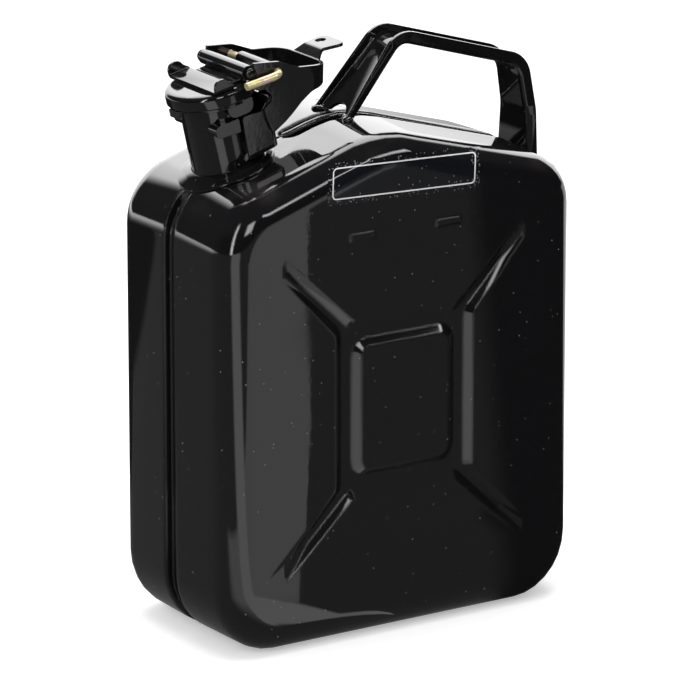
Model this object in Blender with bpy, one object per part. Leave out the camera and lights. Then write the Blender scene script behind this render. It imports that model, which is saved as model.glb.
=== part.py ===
"""Pressed steel jerry can, five litre size: two welded half shells, a strap handle, a tilted
filler neck and a hinged cap that a lever clamps and a bent pin secures.

Metres, +Z up. X runs along the broad face with the spout at -X, the front face looks to -Y and
the origin is on the ground, under the middle of the body.
"""

from math import atan2, cos, pi, radians, sin, sqrt, tan

import bmesh
import bpy
from mathutils import Matrix, Vector

# Fits
GAP = 0.0003
RUN = 0.0004

# Body, at the seam
HALF_WIDTH = 0.112
HALF_DEPTH = 0.056
APEX_X = -0.0071
APEX_Z = 0.2770
SHOULDER_ANGLE = radians(17.2)
REAR_TOP_ANGLE = radians(16.0)
CORNER_RADIUS = 0.036
REAR_CORNER_RADIUS = 0.030
APEX_RADIUS = 0.070
FACE_EDGE_RADIUS = 0.016
DRAFT_SHARE = 0.045
SHEET = 0.0009
CORNER_STEPS = 7
APEX_STEPS = 4
EDGE_STEPS = 6

# Seam channel: half width of its mouth, depth, and the weld flange that stands in it
CHANNEL_HALF = 0.0060
CHANNEL_DEPTH = 0.0070
CHANNEL_BEND = 0.0012
CHANNEL_LIP = 0.0016
CHANNEL_SLOPE = 0.0006
FLANGE_TOP = 0.0024
CLOSED_PITCH = 0.00028
WALL_MARGIN = 0.0018
FADE_END_X = -0.0428
FADE_START_X = -0.0360
FADE_STEPS = 4
FADE_LEFT_END = 0.0145
FADE_LEFT_START = 0.0045
SEAM_BEAD = 0.0008
MOUTH_ROUNDING = 0.3

# On the top the channel is wider, and the flange stands level with the body
TOP_CHANNEL_HALF = 0.0092
TOP_FLANGE_TOP = 0.0004
TOP_START_X = 0.0860
TOP_END_X = 0.0970

# Pressed cross on the broad faces
CROSS_Z = 0.128
CROSS_DEPTH = 0.0030
RING_HALF_X = 0.0430
RING_HALF_Z = 0.0490
RING_WALL_X = 0.0044
RING_WALL_Z = 0.0050
ARM_START = (0.038, 0.046)
ARM_ANGLE = radians(45.0)
ARM_LENGTH = 0.058
TIP_X = 0.0765
TIP_RADIUS = 0.0012
ARM_HALF_ROOT = 0.0060
ARM_HALF_TIP = 0.0040
ARM_WALL_ROOT = 0.0042
ARM_WALL_TIP = 0.0028
ARM_RAMP = 0.018
ARM_TIP_DEPTH = 0.0004
CROSS_FILLET = 0.0060
PAD_HALF_X = 0.0275
PAD_HALF_Z = 0.0338
PAD_WALL = 0.0046
PAD_RADIUS = 0.0050
FLAT_MARGIN = 0.0014
DASH_X = 0.0269
DASH_Z = 0.2225
DASH_HALF_X = 0.0079
DASH_HALF_Z = 0.0022
DASH_RADIUS = 0.0011
DASH_HEIGHT = 0.0006

# Handle strap: the inside line of its web, with the bend radius at each turn
HANDLE_LINE = (
    (-0.0090, 0.2702, 0.0),
    (0.0271, 0.3099, 0.0085),
    (0.1010, 0.2875, 0.0100),
    (0.1052, 0.2620, 0.0300),
    (0.1048, 0.2230, 0.0),
)
HANDLE_SHEET = 0.0018
HANDLE_BEND = 0.0024
HANDLE_HALF_TOP = 0.0120
HANDLE_HALF_FOOT = 0.0165
HANDLE_HALF_REAR = 0.0158
HANDLE_FLANGE_FRONT = 0.0042
HANDLE_FLANGE_TOP = 0.0070
HANDLE_FLANGE_REAR = 0.0067
HANDLE_FOOT_RUN = 0.036
HANDLE_NOTCH_RADIUS = 0.0084
HANDLE_NOTCH_REACH = 0.0019

# Filler neck, in the neck's own frame: u to the rear, h along its axis
NECK_FROM_SIDE = 0.0360
NECK_SINK = 0.00067
NECK_X = NECK_FROM_SIDE - HALF_WIDTH
NECK_ORIGIN = (NECK_X, APEX_Z - (APEX_X - NECK_X) * tan(SHOULDER_ANGLE) - NECK_SINK)
NECK_TILT = radians(12.5)
NECK_RADIUS = 0.0180
NECK_SHEET = 0.0012
NECK_BOTTOM = -0.0130
NECK_TOP = 0.0450
MOUTH_BEAD = 0.0016
COLLAR_RADIUS = 0.0262
COLLAR_STEP_RADIUS = 0.0222
COLLAR_EDGE = 0.0013
COLLAR_STEP = 0.0030
ROUND_STEPS = 40

# Mouth flange with its two ears and front lug
FLANGE_RADIUS = 0.0226
FLANGE_H = 0.0388
FLANGE_SHEET = 0.0015
EAR_INSIDE = 0.0202
EAR_SHEET = 0.0016
EAR_FRONT_U = -0.0037
EAR_REAR_U = 0.0118
EAR_BOTTOM_H = 0.0322
EAR_CORNER = 0.0045
FRONT_LUG_U = -0.0236
FRONT_LUG_HALF = 0.0050
FRONT_LUG_DROP = 0.0030

# Side lugs on the neck
LUG_FRONT_U = -0.0130
LUG_REAR_U = 0.0018
LUG_LOW_H = 0.0235
LUG_HIGH_H = 0.0312
LUG_OUTSIDE = 0.0213
LUG_SLOPE = 0.0010
LUG_CORNER = 0.0030
LUG_TIGHT = 0.0008

# Hinge bracket behind the neck
BRACKET_REAR_U = 0.0226
BRACKET_BEND = 0.0040
BRACKET_OUTLINE = (
    (0.0030, 0.0072, 0.0010),
    (0.0240, 0.0092, 0.0),
    (0.0240, 0.0372, 0.0),
    (0.0165, 0.0300, 0.0040),
    (0.0036, 0.0314, 0.0020),
)
HINGE_U = 0.0290
HINGE_DROP = 0.0023
HINGE_H = FLANGE_H - HINGE_DROP
HINGE_PIN_RADIUS = 0.0016
HINGE_PIN_HEAD = 0.0027
HINGE_PIN_HEAD_THICK = 0.0012
KNUCKLE_RADIUS = 0.0032
KNUCKLE_HALF = 0.0075
HINGE_EAR_SHEET = 0.0018
HINGE_EAR_ROOT_U = 0.0214
HINGE_EAR_LOW_H = 0.0180
HINGE_EAR_HIGH_H = 0.0325

# Cap
CAP_RADIUS = 0.0238
CAP_TOP = 0.0482
CAP_BOTTOM = 0.0410
CAP_SHEET = 0.0010
CAP_EDGE = 0.0030
GASKET_INSIDE = 0.0150
GASKET_OUTSIDE = 0.0215
RETAINER_LIP = 0.0009
LEAF_SHEET = 0.0016
LEAF_TOP = 0.0438
LEAF_KNEE = 0.0388

# Strap across the cap, with its turned-up ears
STRAP_SHEET = 0.0016
STRAP_FRONT_U = -0.0099
STRAP_REAR_U = 0.0028
STRAP_HALF = 0.0240
STRAP_BEND = 0.0026
STRAP_EAR_TOP = 0.0565
STRAP_EAR_REAR_U = -0.0008

# Pivot barrel on the cap, and the rivet through it
PIVOT_U = 0.0125
PIVOT_H = 0.0530
BARREL_RADIUS = 0.0040
BARREL_FOOT_U = 0.0034
BARREL_FOOT_HALF = 0.0170
BARREL_FOOT_SHEET = 0.0016
RIVET_RADIUS = 0.0022
RIVET_HEAD = 0.0032
RIVET_HEAD_THICK = 0.0014

# Clamp lever
CHEEK_INSIDE = 0.0222
LEVER_SHEET = 0.0018
LEVER_BEND = 0.0105
LEVER_WEB_U = 0.0540
LEVER_WEB_LEAN = 0.25
LEVER_OUTLINE = (
    (0.0100, 0.0462, 0.0010),
    (0.0140, 0.0429, 0.0030),
    (0.0192, 0.0418, 0.0030),
    (0.0226, 0.0375, 0.0030),
    (0.0208, 0.0335, 0.0020),
    (0.0164, 0.0320, 0.0010),
    (0.0171, 0.0246, 0.0),
    (0.0188, 0.0172, 0.0012),
    (0.0270, 0.0206, 0.0060),
    (0.0325, 0.0236, 0.0),
    (0.0388, 0.0276, 0.0),
    (0.0462, 0.0310, 0.0080),
    (0.0640, 0.0317, 0.0),
    (0.0640, 0.0402, 0.0),
    (0.0416, 0.0462, 0.0060),
    (0.0300, 0.0536, 0.0080),
    (0.0255, 0.0549, 0.0060),
    (0.0120, 0.0587, 0.0050),
    (0.0069, 0.0556, 0.0040),
    (0.0066, 0.0500, 0.0040),
    (0.0098, 0.0478, 0.0015),
)
TAB_LINE = (
    (0.0570, 0.0340, 0.0),
    (0.0588, 0.0405, 0.0020),
    (0.0655, 0.0447, 0.0025),
    (0.0800, 0.0437, 0.0),
)
TAB_PLAN = (
    (0.0550, 0.0128, 0.0),
    (0.0595, 0.0128, 0.0020),
    (0.0655, 0.0081, 0.0040),
    (0.0790, 0.0110, 0.0035),
)
TAB_HOLE = (0.0726, 0.0040)
TAB_HOLE_RADIUS = 0.0030
SLEEVE_U = 0.0283
SLEEVE_H = 0.0483
SLEEVE_RADIUS = 0.00375
SLEEVE_FAR_Y = 0.0120

# Safety pin: a bent wire with one long leg through the lever
WIRE_RADIUS = 0.0021
WIRE_BEND = 0.0052
WIRE_LEG_Y = -0.0283
WIRE_FAR_Y = 0.0270
WIRE_END_U = 0.0060
WIRE_END_H = 0.0489

# Breather tube inside
BREATHER_RADIUS = 0.0032
BREATHER_SHEET = 0.0007
BREATHER_TOP_H = 0.0380
BREATHER_LOW_H = -0.0110
BREATHER_BEND = 0.0120
BREATHER_POINTS = ((-0.0560, 0.2330), (-0.0220, 0.2580))

UP = Vector((0.0, 0.0, 1.0))
ALONG_Y = Matrix.Rotation(radians(90.0), 4, "X")


def clear_scene():
    for obj in list(bpy.data.objects):
        bpy.data.objects.remove(obj, do_unlink=True)


def paint(name, colour, roughness, metallic):
    made = bpy.data.materials.new(name)
    made.use_nodes = True
    shader = made.node_tree.nodes["Principled BSDF"]
    shader.inputs["Base Color"].default_value = (*colour, 1.0)
    shader.inputs["Roughness"].default_value = roughness
    shader.inputs["Metallic"].default_value = metallic
    return made


def empty(name, location, parent=None, turn=0.0):
    made = bpy.data.objects.new(name, None)
    bpy.context.scene.collection.objects.link(made)
    made.parent = parent
    made.location = location
    made.rotation_euler = (0.0, turn, 0.0)
    made.empty_display_size = NECK_RADIUS
    return made


def finish(name, bm, material=None, parent=None, sharp=radians(35.0)):
    """Links the bmesh as an object, in the coordinates of the neck frame or of the world."""
    bmesh.ops.recalc_face_normals(bm, faces=bm.faces)
    mesh = bpy.data.meshes.new(name)
    bm.to_mesh(mesh)
    bm.free()
    mesh.shade_smooth()
    mesh.set_sharp_from_angle(angle=sharp)
    made = bpy.data.objects.new(name, mesh)
    bpy.context.scene.collection.objects.link(made)
    if material:
        mesh.materials.append(material)
    if parent:
        made.parent = parent
        if parent.parent:
            made.location = -total_shift(parent)
    return made


def total_shift(axis):
    """Where an axis empty lies in the frame that its body is drawn in."""
    shift = axis.location.copy()
    if axis.parent.parent:
        shift += total_shift(axis.parent)
    return shift


def boolean(obj, cutter, operation="DIFFERENCE"):
    cutter.hide_render = True
    cutter.display_type = "WIRE"
    modifier = obj.modifiers.new(cutter.name, "BOOLEAN")
    modifier.operation = operation
    modifier.solver = "EXACT"
    modifier.object = cutter


def prism(name, outline, axis, low, high, material=None, parent=None):
    """A flat outline pulled along one axis: Y takes (x, z), Z takes (x, y), X takes (y, z)."""
    place = {
        "Y": lambda a, b, c: (a, c, b),
        "Z": lambda a, b, c: (a, b, c),
        "X": lambda a, b, c: (c, a, b),
    }[axis]
    bm = bmesh.new()
    face = bm.faces.new([bm.verts.new(place(a, b, low)) for a, b in outline])
    pulled = bmesh.ops.extrude_face_region(bm, geom=[face])["geom"]
    move = Vector(place(0.0, 0.0, high - low))
    bmesh.ops.translate(bm, verts=[v for v in pulled if isinstance(v, bmesh.types.BMVert)], vec=move)
    return finish(name, bm, material, parent)


def rod(name, centre, radius, low, high, material=None, parent=None, steps=20, along="Y"):
    """A straight round bar along Y, or along Z, through (x, z) or (x, y)."""
    bm = bmesh.new()
    middle = (low + high) / 2
    if along == "Y":
        matrix = Matrix.Translation((centre[0], middle, centre[1])) @ ALONG_Y
    else:
        matrix = Matrix.Translation((centre[0], centre[1], middle))
    bmesh.ops.create_cone(
        bm,
        cap_ends=True,
        segments=steps,
        radius1=radius,
        radius2=radius,
        depth=high - low,
        matrix=matrix,
    )
    return finish(name, bm, material, parent)


def turned(name, profile, material, parent, steps=ROUND_STEPS, centre=(0.0, 0.0), along="Z"):
    """Spins a profile of (radius, height) once round the axis; a ring's profile closes on itself."""
    bm = bmesh.new()
    verts = [bm.verts.new((r, 0.0, h)) for r, h in profile]
    edges = [bm.edges.new(pair) for pair in zip(verts, verts[1:])]
    if min(r for r, _ in profile) > 0:
        edges.append(bm.edges.new((verts[-1], verts[0])))
    bmesh.ops.spin(
        bm,
        geom=verts + edges,
        axis=UP,
        cent=(0.0, 0.0, 0.0),
        steps=steps,
        angle=2 * pi,
        use_merge=True,
    )
    bmesh.ops.remove_doubles(bm, verts=bm.verts, dist=GAP / 100)
    if along == "Y":
        bmesh.ops.transform(bm, verts=bm.verts, matrix=ALONG_Y)
    bmesh.ops.translate(bm, verts=bm.verts, vec=(centre[0], 0.0, centre[1]))
    return finish(name, bm, material, parent)


def rounded(points, steps=3, closed=True):
    """Rounds the corners of a path of (a, b, radius), each with the same number of points."""
    made = []
    count = len(points)
    for i, (a, b, radius) in enumerate(points):
        here = Vector((a, b))
        if radius == 0 or (not closed and i in (0, count - 1)):
            made.append((a, b))
            continue
        before = Vector(points[i - 1][:2])
        after = Vector(points[(i + 1) % count][:2])
        to_before = (before - here).normalized()
        to_after = (after - here).normalized()
        half = to_before.angle(to_after) / 2
        reach = radius / tan(half)
        middle = here + (to_before + to_after).normalized() * (radius / sin(half))
        first = here + to_before * reach - middle
        last = here + to_after * reach - middle
        swing = atan2(first.x * last.y - first.y * last.x, first.dot(last))
        for step in range(steps + 1):
            turn = Matrix.Rotation(swing * step / steps, 2)
            made.append(tuple(middle + turn @ first))
    return made


def directions(path):
    """The direction of an open path at each of its points."""
    ends = zip([path[0], *path[:-1]], [*path[1:], path[-1]])
    return [(Vector(b) - Vector(a)).normalized() for a, b in ends]


def strip(path, thickness):
    """The outline of a sheet that follows an open path, on its left side."""
    left = []
    for (a, b), way in zip(path, directions(path)):
        left.append((a - way.y * thickness, b + way.x * thickness))
    return path + left[::-1]


def tube(name, path, radius, inside, material, parent, steps=12):
    """A round tube or wire along a path of points in space, flat at both ends."""
    bm = bmesh.new()
    side = Vector((0.0, 1.0, 0.0)) if abs((path[1] - path[0]).normalized().y) < 0.5 else UP
    rings = []
    for i, point in enumerate(path):
        way = (path[min(i + 1, len(path) - 1)] - path[max(i - 1, 0)]).normalized()
        side = (side - way * side.dot(way)).normalized()
        other = way.cross(side)
        rings.append(
            [
                [
                    bm.verts.new(point + (side * cos(t) + other * sin(t)) * r)
                    for t in (2 * pi * k / steps for k in range(steps))
                ]
                for r in ((radius, inside) if inside else (radius,))
            ]
        )
    for one, two in zip(rings, rings[1:]):
        for inner, outer in zip(one, two):
            join(bm, inner, outer)
    for end in (rings[0], rings[-1]):
        if inside:
            join(bm, end[0], end[1])
        else:
            bm.faces.new(end[0])
    return finish(name, bm, material, parent, sharp=radians(50.0))


def join(bm, one, two):
    """Quads between two loops of the same number of points."""
    for i in range(len(one)):
        j = (i + 1) % len(one)
        bm.faces.new((one[i], one[j], two[j], two[i]))


# Body outline at the seam


def body_corners():
    left = APEX_Z - (APEX_X + HALF_WIDTH) * tan(SHOULDER_ANGLE)
    rear = APEX_Z - (HALF_WIDTH - APEX_X) * tan(REAR_TOP_ANGLE)
    return (
        (-HALF_WIDTH, 0.0, CORNER_RADIUS, CORNER_STEPS),
        (HALF_WIDTH, 0.0, CORNER_RADIUS, CORNER_STEPS),
        (HALF_WIDTH, rear, REAR_CORNER_RADIUS, CORNER_STEPS),
        (APEX_X, APEX_Z, APEX_RADIUS, APEX_STEPS),
        (-HALF_WIDTH, left, CORNER_RADIUS, CORNER_STEPS + 2),
    )


def smooth(share):
    share = min(1.0, max(0.0, share))
    return share * share * (3 - 2 * share)


def channel_share(x, z):
    """One where the seam channel has its full depth, zero where it is closed at the neck."""
    if z < CORNER_RADIUS * 3 or x > 0:
        return 1.0
    rear = (x - FADE_END_X) / (FADE_START_X - FADE_END_X)
    front = (FADE_LEFT_END - HALF_WIDTH - x) / (FADE_LEFT_END - FADE_LEFT_START)
    return smooth(max(rear, front))


def top_share(x, z):
    """One on the top between the neck and the handle's rear foot, where the channel is wide."""
    if z < CORNER_RADIUS * 3 or x < FADE_END_X - SHEET:
        return 0.0
    return smooth((TOP_END_X - x) / (TOP_END_X - TOP_START_X))


def flange_top(x, z):
    return FLANGE_TOP + (TOP_FLANGE_TOP - FLANGE_TOP) * top_share(x, z)


def outline():
    """Points of the outline as (point, outward normal, channel share), from the bottom left."""
    corners = body_corners()
    made = []
    for i, (x, z, radius, steps) in enumerate(corners):
        before = Vector(corners[i - 1][:2])
        here = Vector((x, z))
        after = Vector(corners[(i + 1) % len(corners)][:2])
        way_in = (here - before).normalized()
        way_out = (after - here).normalized()
        swing = way_in.angle(way_out)
        reach = radius * tan(swing / 2)
        middle = here - way_in * reach + Vector((-way_in.y, way_in.x)) * radius
        if i == len(corners) - 1:
            for step in range(FADE_STEPS + 1):
                near_end = 1 - (1 - step / FADE_STEPS) ** 2
                at = FADE_START_X + (FADE_END_X - FADE_START_X) * near_end
                point = Vector((at, APEX_Z + (at - APEX_X) * tan(SHOULDER_ANGLE)))
                made.append((point, Vector((way_in.y, -way_in.x))))
        for step in range(steps + 1):
            turn = Matrix.Rotation(swing * step / steps, 2)
            normal = turn @ Vector((way_in.y, -way_in.x))
            made.append((middle + normal * radius, normal))
    return [(point, normal, channel_share(*point)) for point, normal in made]


def draft(side_distance):
    return DRAFT_SHARE * max(0.0, side_distance - CHANNEL_HALF)


def sections():
    """Steps across one shell from its weld flange to the flat of its face.

    Each is (distance from the seam, depth, distance where the channel is closed, draft depth).
    """
    flange = GAP / 2 + SHEET
    wall = CHANNEL_HALF - CHANNEL_SLOPE - CHANNEL_LIP / 2
    bend = CHANNEL_BEND
    floor = CHANNEL_DEPTH
    full = (
        (flange, FLANGE_TOP),
        (flange, floor - bend),
        (flange + bend * (1 - cos(pi / 4)), floor - bend * (1 - sin(pi / 4))),
        (flange + bend, floor),
        (wall - CHANNEL_SLOPE - bend, floor),
        (wall - CHANNEL_SLOPE - bend * (1 - sin(pi / 4)), floor - bend * (1 - cos(pi / 4))),
        (wall - CHANNEL_SLOPE, floor - bend),
        (wall, CHANNEL_LIP),
        (wall + CHANNEL_LIP * (1 - cos(pi / 4)), CHANNEL_LIP * (1 - sin(pi / 4))),
    )
    made = [(s, depth, flange + i * CLOSED_PITCH, 0.0) for i, (s, depth) in enumerate(full)]
    for s in (wall + CHANNEL_LIP, wall + CHANNEL_LIP + WALL_MARGIN, HALF_DEPTH - FACE_EDGE_RADIUS):
        made.append((s, 0.0, s, draft(s)))
    last = draft(HALF_DEPTH - FACE_EDGE_RADIUS)
    for step in range(1, EDGE_STEPS + 1):
        angle = pi / 2 * step / EDGE_STEPS
        s = HALF_DEPTH - FACE_EDGE_RADIUS * (1 - sin(angle))
        made.append((s, FACE_EDGE_RADIUS * (1 - cos(angle)), s, last))
    made.append((HALF_DEPTH, FACE_EDGE_RADIUS + FLAT_MARGIN, HALF_DEPTH, last))
    return made


def body_point(sample, section):
    point, normal, share = sample
    s, depth, closed, lean = section
    flange = GAP / 2 + SHEET
    wider = (TOP_CHANNEL_HALF - CHANNEL_HALF) * top_share(point.x, point.y)
    mouth = share**MOUTH_ROUNDING
    in_channel = s < CHANNEL_HALF + CHANNEL_LIP and lean == 0
    if in_channel:
        if s == flange and depth == FLANGE_TOP:
            depth = flange_top(point.x, point.y)
        depth *= share
        s += wider * (s - flange) / (CHANNEL_HALF - flange)
        s = closed + (s - closed) * mouth
    elif s < CHANNEL_HALF * 2:
        s += wider * mouth
        lean = draft(s)
    x = point.x - normal.x * (depth + lean)
    z = point.y - normal.y * depth - max(normal.y, 0.0) * lean
    return x, s, z


def cross_loop(widen, level):
    """The cross's edge: level 0 on the face, 1 on its floor; widen moves the face edge out."""
    half_x = RING_HALF_X - RING_WALL_X * level + widen
    half_z = RING_HALF_Z - RING_WALL_Z * level + widen
    root = ARM_HALF_ROOT - ARM_WALL_ROOT * level + widen
    tip = ARM_HALF_TIP - ARM_WALL_TIP * level + widen
    length = ARM_LENGTH - ARM_WALL_TIP * level + widen
    fillet = CROSS_FILLET + RING_WALL_X * level - widen
    way = Vector((cos(ARM_ANGLE), sin(ARM_ANGLE)))
    off = Vector((-way.y, way.x))
    start = Vector(ARM_START)
    taper = (tip - root) / length

    def on_arm(along, side):
        return start + way * along + off * side * (root + taper * along)

    low = (half_x - start.x + off.x * root) / (way.x - off.x * taper)
    high = (half_z - start.y - off.y * root) / (way.y + off.y * taper)
    reach = (TIP_X - ARM_WALL_TIP * level + widen - start.x) / way.x
    break_at = reach - ARM_RAMP
    rounding = TIP_RADIUS * (1 - level / 2)
    quarter = (
        (on_arm(low, -1), fillet),
        (on_arm(break_at, -1), 0.0),
        (on_arm((reach - root) / (1 + taper), -1), rounding),
        (on_arm((reach + root) / (1 - taper), 1), rounding),
        (on_arm(break_at, 1), 0.0),
        (on_arm(high, 1), fillet),
    )
    corners = []
    for flip_x, flip_z in ((1, 1), (-1, 1), (-1, -1), (1, -1)):
        part = quarter if flip_x * flip_z > 0 else quarter[::-1]
        corners += [(flip_x * p.x, flip_z * p.y, r) for p, r in part]
    depths = []
    loop = rounded(corners, steps=3)
    for x, z in loop:
        along = (Vector((abs(x), abs(z))) - start).dot(way)
        ramp = max(0.0, along - break_at) / ARM_RAMP
        depths.append(level * (CROSS_DEPTH + (ARM_TIP_DEPTH - CROSS_DEPTH) * ramp))
    return [(x, CROSS_Z + z, depth) for (x, z), depth in zip(loop, depths)]


def block_loop(centre_x, centre_z, half_x, half_z, radius, depth):
    corners = [
        (centre_x + a * half_x, centre_z + b * half_z, radius)
        for a, b in ((1, 1), (-1, 1), (-1, -1), (1, -1))
    ]
    return [(x, z, depth) for x, z in rounded(corners, steps=3)]


def fill(bm, loops):
    """Fills the flat field between closed loops of vertices."""
    edges = []
    for loop in loops:
        for i, vert in enumerate(loop):
            pair = (vert, loop[(i + 1) % len(loop)])
            edges.append(bm.edges.get(pair) or bm.edges.new(pair))
    bmesh.ops.triangle_fill(bm, use_beauty=True, use_dissolve=False, edges=edges)


def shell(name, side, material, bore):
    bm = bmesh.new()
    samples = outline()
    rings = []
    for section in sections():
        points = [body_point(sample, section) for sample in samples]
        rings.append([bm.verts.new((x, side * s, z)) for x, s, z in points])
    for one, two in zip(rings, rings[1:]):
        join(bm, one, two)

    def loop_verts(points):
        return [bm.verts.new((x, side * (HALF_DEPTH - depth), z)) for x, z, depth in points]

    margin = loop_verts(cross_loop(FLAT_MARGIN, 0))
    edge = loop_verts(cross_loop(0.0, 0))
    floor = loop_verts(cross_loop(0.0, 1))
    join(bm, margin, edge)
    join(bm, edge, floor)
    dashes = []
    for x in (-DASH_X, DASH_X):
        foot = loop_verts(block_loop(x, DASH_Z, DASH_HALF_X, DASH_HALF_Z, DASH_RADIUS, 0.0))
        half_x = DASH_HALF_X - DASH_HEIGHT
        half_z = DASH_HALF_Z - DASH_HEIGHT
        crest = loop_verts(block_loop(x, DASH_Z, half_x, half_z, DASH_RADIUS / 2, -DASH_HEIGHT))
        join(bm, foot, crest)
        bm.faces.new(crest)
        dashes.append(foot)
    fill(bm, [rings[-1], margin, *dashes])
    grown = PAD_WALL
    pads = [
        (grown + FLAT_MARGIN, CROSS_DEPTH),
        (grown, CROSS_DEPTH),
        (0.0, 0.0),
        (-FLAT_MARGIN, 0.0),
    ]
    made = []
    for extra, depth in pads:
        half_x = PAD_HALF_X + extra
        half_z = PAD_HALF_Z + extra
        radius = PAD_RADIUS + extra
        made.append(loop_verts(block_loop(0.0, CROSS_Z, half_x, half_z, radius, depth)))
    for one, two in zip(made, made[1:]):
        join(bm, one, two)
    bm.faces.new(made[-1])
    # Each arm's ramp is one flat face between the break points and the tip.
    per_arm = len(floor) // 4
    first = 4
    last = per_arm - 5
    ring_floor = []
    for arm in range(4):
        start = arm * per_arm
        part = floor[start : start + per_arm]
        bm.faces.new(part[first : last + 1])
        ring_floor += part[: first + 1] + part[last:]
    fill(bm, [ring_floor, made[0]])
    obj = finish(name, bm, material)
    pad = min(obj.data.polygons, key=lambda face: (face.center - Vector((0, side, CROSS_Z))).length)
    if pad.normal.y * side < 0:
        obj.data.flip_normals()
    solid = obj.modifiers.new("Sheet", "SOLIDIFY")
    solid.thickness = SHEET
    solid.offset = -1
    solid.use_even_offset = True
    solid.use_rim = True
    boolean(obj, bore)
    return obj


def seam_weld(material):
    """The bead along the tops of the two weld flanges, up to the closed stretch at the neck."""
    samples = outline()
    front = NECK_ORIGIN[0] - COLLAR_RADIUS - COLLAR_STEP
    rear = NECK_ORIGIN[0]
    closed = [i for i, (p, _, share) in enumerate(samples) if share < 0.1 or share < 1 and front < p.x < rear]
    start = closed[-1] + 1
    run = [samples[(start + i) % len(samples)] for i in range(len(samples) - len(closed))]
    half = GAP / 2 + SHEET
    bm = bmesh.new()
    rings = []
    for point, normal, share in run:
        low = flange_top(point.x, point.y) * share - GAP
        high = low - SEAM_BEAD
        across = ((-1, low), (-1, (low + high) / 2), (-0.5, high), (0.5, high), (1, (low + high) / 2), (1, low))
        ring = []
        for y, depth in across:
            ring.append(bm.verts.new((point.x - normal.x * depth, y * half, point.y - normal.y * depth)))
        rings.append(ring)
    for one, two in zip(rings, rings[1:]):
        join(bm, one, two)
    bm.faces.new(rings[0])
    bm.faces.new(rings[-1])
    return finish("seam_weld", bm, material, sharp=radians(50.0))


def body_cutter():
    """The body's outer form under the handle's feet, with the clearance that they keep to it."""
    bm = bmesh.new()
    rings = []
    for s in (-HALF_DEPTH / 2, -CHANNEL_HALF, CHANNEL_HALF, HALF_DEPTH / 2):
        lean = draft(abs(s)) - GAP
        ring = []
        for point, normal, _ in outline():
            ring.append(bm.verts.new((point.x - normal.x * lean, s, point.y - normal.y * lean)))
        rings.append(ring)
    for one, two in zip(rings, rings[1:]):
        join(bm, one, two)
    bm.faces.new(rings[0])
    bm.faces.new(rings[-1])
    return finish("body_cutter", bm)


def handle(material):
    path = rounded(HANDLE_LINE, steps=6, closed=False)
    lengths = [0.0]
    for a, b in zip(path, path[1:]):
        lengths.append(lengths[-1] + (Vector(b) - Vector(a)).length)
    total = lengths[-1]
    bm = bmesh.new()
    rings = []
    for (x, z), way, along in zip(path, directions(path), lengths):
        left = total - along
        front = smooth(1 - along / HANDLE_FOOT_RUN)
        rear = smooth(1 - left / (HANDLE_FOOT_RUN * 1.6))
        half = HANDLE_HALF_TOP + (HANDLE_HALF_FOOT - HANDLE_HALF_TOP) * front
        half += (HANDLE_HALF_REAR - HANDLE_HALF_TOP) * rear
        rise = HANDLE_FLANGE_TOP + (HANDLE_FLANGE_FRONT - HANDLE_FLANGE_TOP) * front
        rise += (HANDLE_FLANGE_REAR - HANDLE_FLANGE_TOP) * rear
        t = HANDLE_SHEET
        r = HANDLE_BEND
        inner = r - t / 2
        outer_side = (
            (half, rise),
            (half, r),
            (half - r * (1 - cos(pi / 4)), r * (1 - sin(pi / 4))),
            (half - r, 0.0),
        )
        inner_side = (
            (half - t - inner, t),
            (half - t - inner * (1 - cos(pi / 4)), t + inner * (1 - sin(pi / 4))),
            (half - t, t + inner),
            (half - t, rise),
        )
        section = list(outer_side)
        section += [(-y, n) for y, n in outer_side[::-1]]
        section += [(-y, n) for y, n in inner_side[::-1]]
        section += list(inner_side)
        rings.append([bm.verts.new((x - way.y * n, y, z + way.x * n)) for y, n in section])
    for one, two in zip(rings, rings[1:]):
        join(bm, one, two)
    bm.faces.new(rings[0])
    bm.faces.new(rings[-1])
    obj = finish("handle", bm, material)
    boolean(obj, body_cutter())
    x, z, _ = HANDLE_LINE[0]
    ahead = (Vector(HANDLE_LINE[1][:2]) - Vector((x, z))).normalized()
    at = Vector((x, z)) + ahead * HANDLE_NOTCH_REACH
    bm = bmesh.new()
    turn = Matrix.Rotation(atan2(-ahead.y, ahead.x), 4, "Y")
    bmesh.ops.create_cone(
        bm,
        cap_ends=True,
        segments=28,
        radius1=HANDLE_NOTCH_RADIUS,
        radius2=HANDLE_NOTCH_RADIUS,
        depth=HANDLE_BEND * 4,
        matrix=Matrix.Translation((at.x, 0.0, at.y)) @ turn,
    )
    boolean(obj, finish("handle_notch_cutter", bm))
    return obj


# Neck


def shoulder_height(x, y):
    """Height of the body's top, left of the apex, with its draft."""
    lean = draft(abs(y))
    corner_z = body_corners()[-1][1] - CORNER_RADIUS * tan((pi / 2 - SHOULDER_ANGLE) / 2)
    arc = CORNER_RADIUS - lean
    offset = x + HALF_WIDTH - CORNER_RADIUS
    if offset < -arc * sin(SHOULDER_ANGLE):
        return corner_z + sqrt(max(0.0, arc * arc - offset * offset))
    return APEX_Z + (x - APEX_X) * tan(SHOULDER_ANGLE) - lean / cos(SHOULDER_ANGLE)


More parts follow.
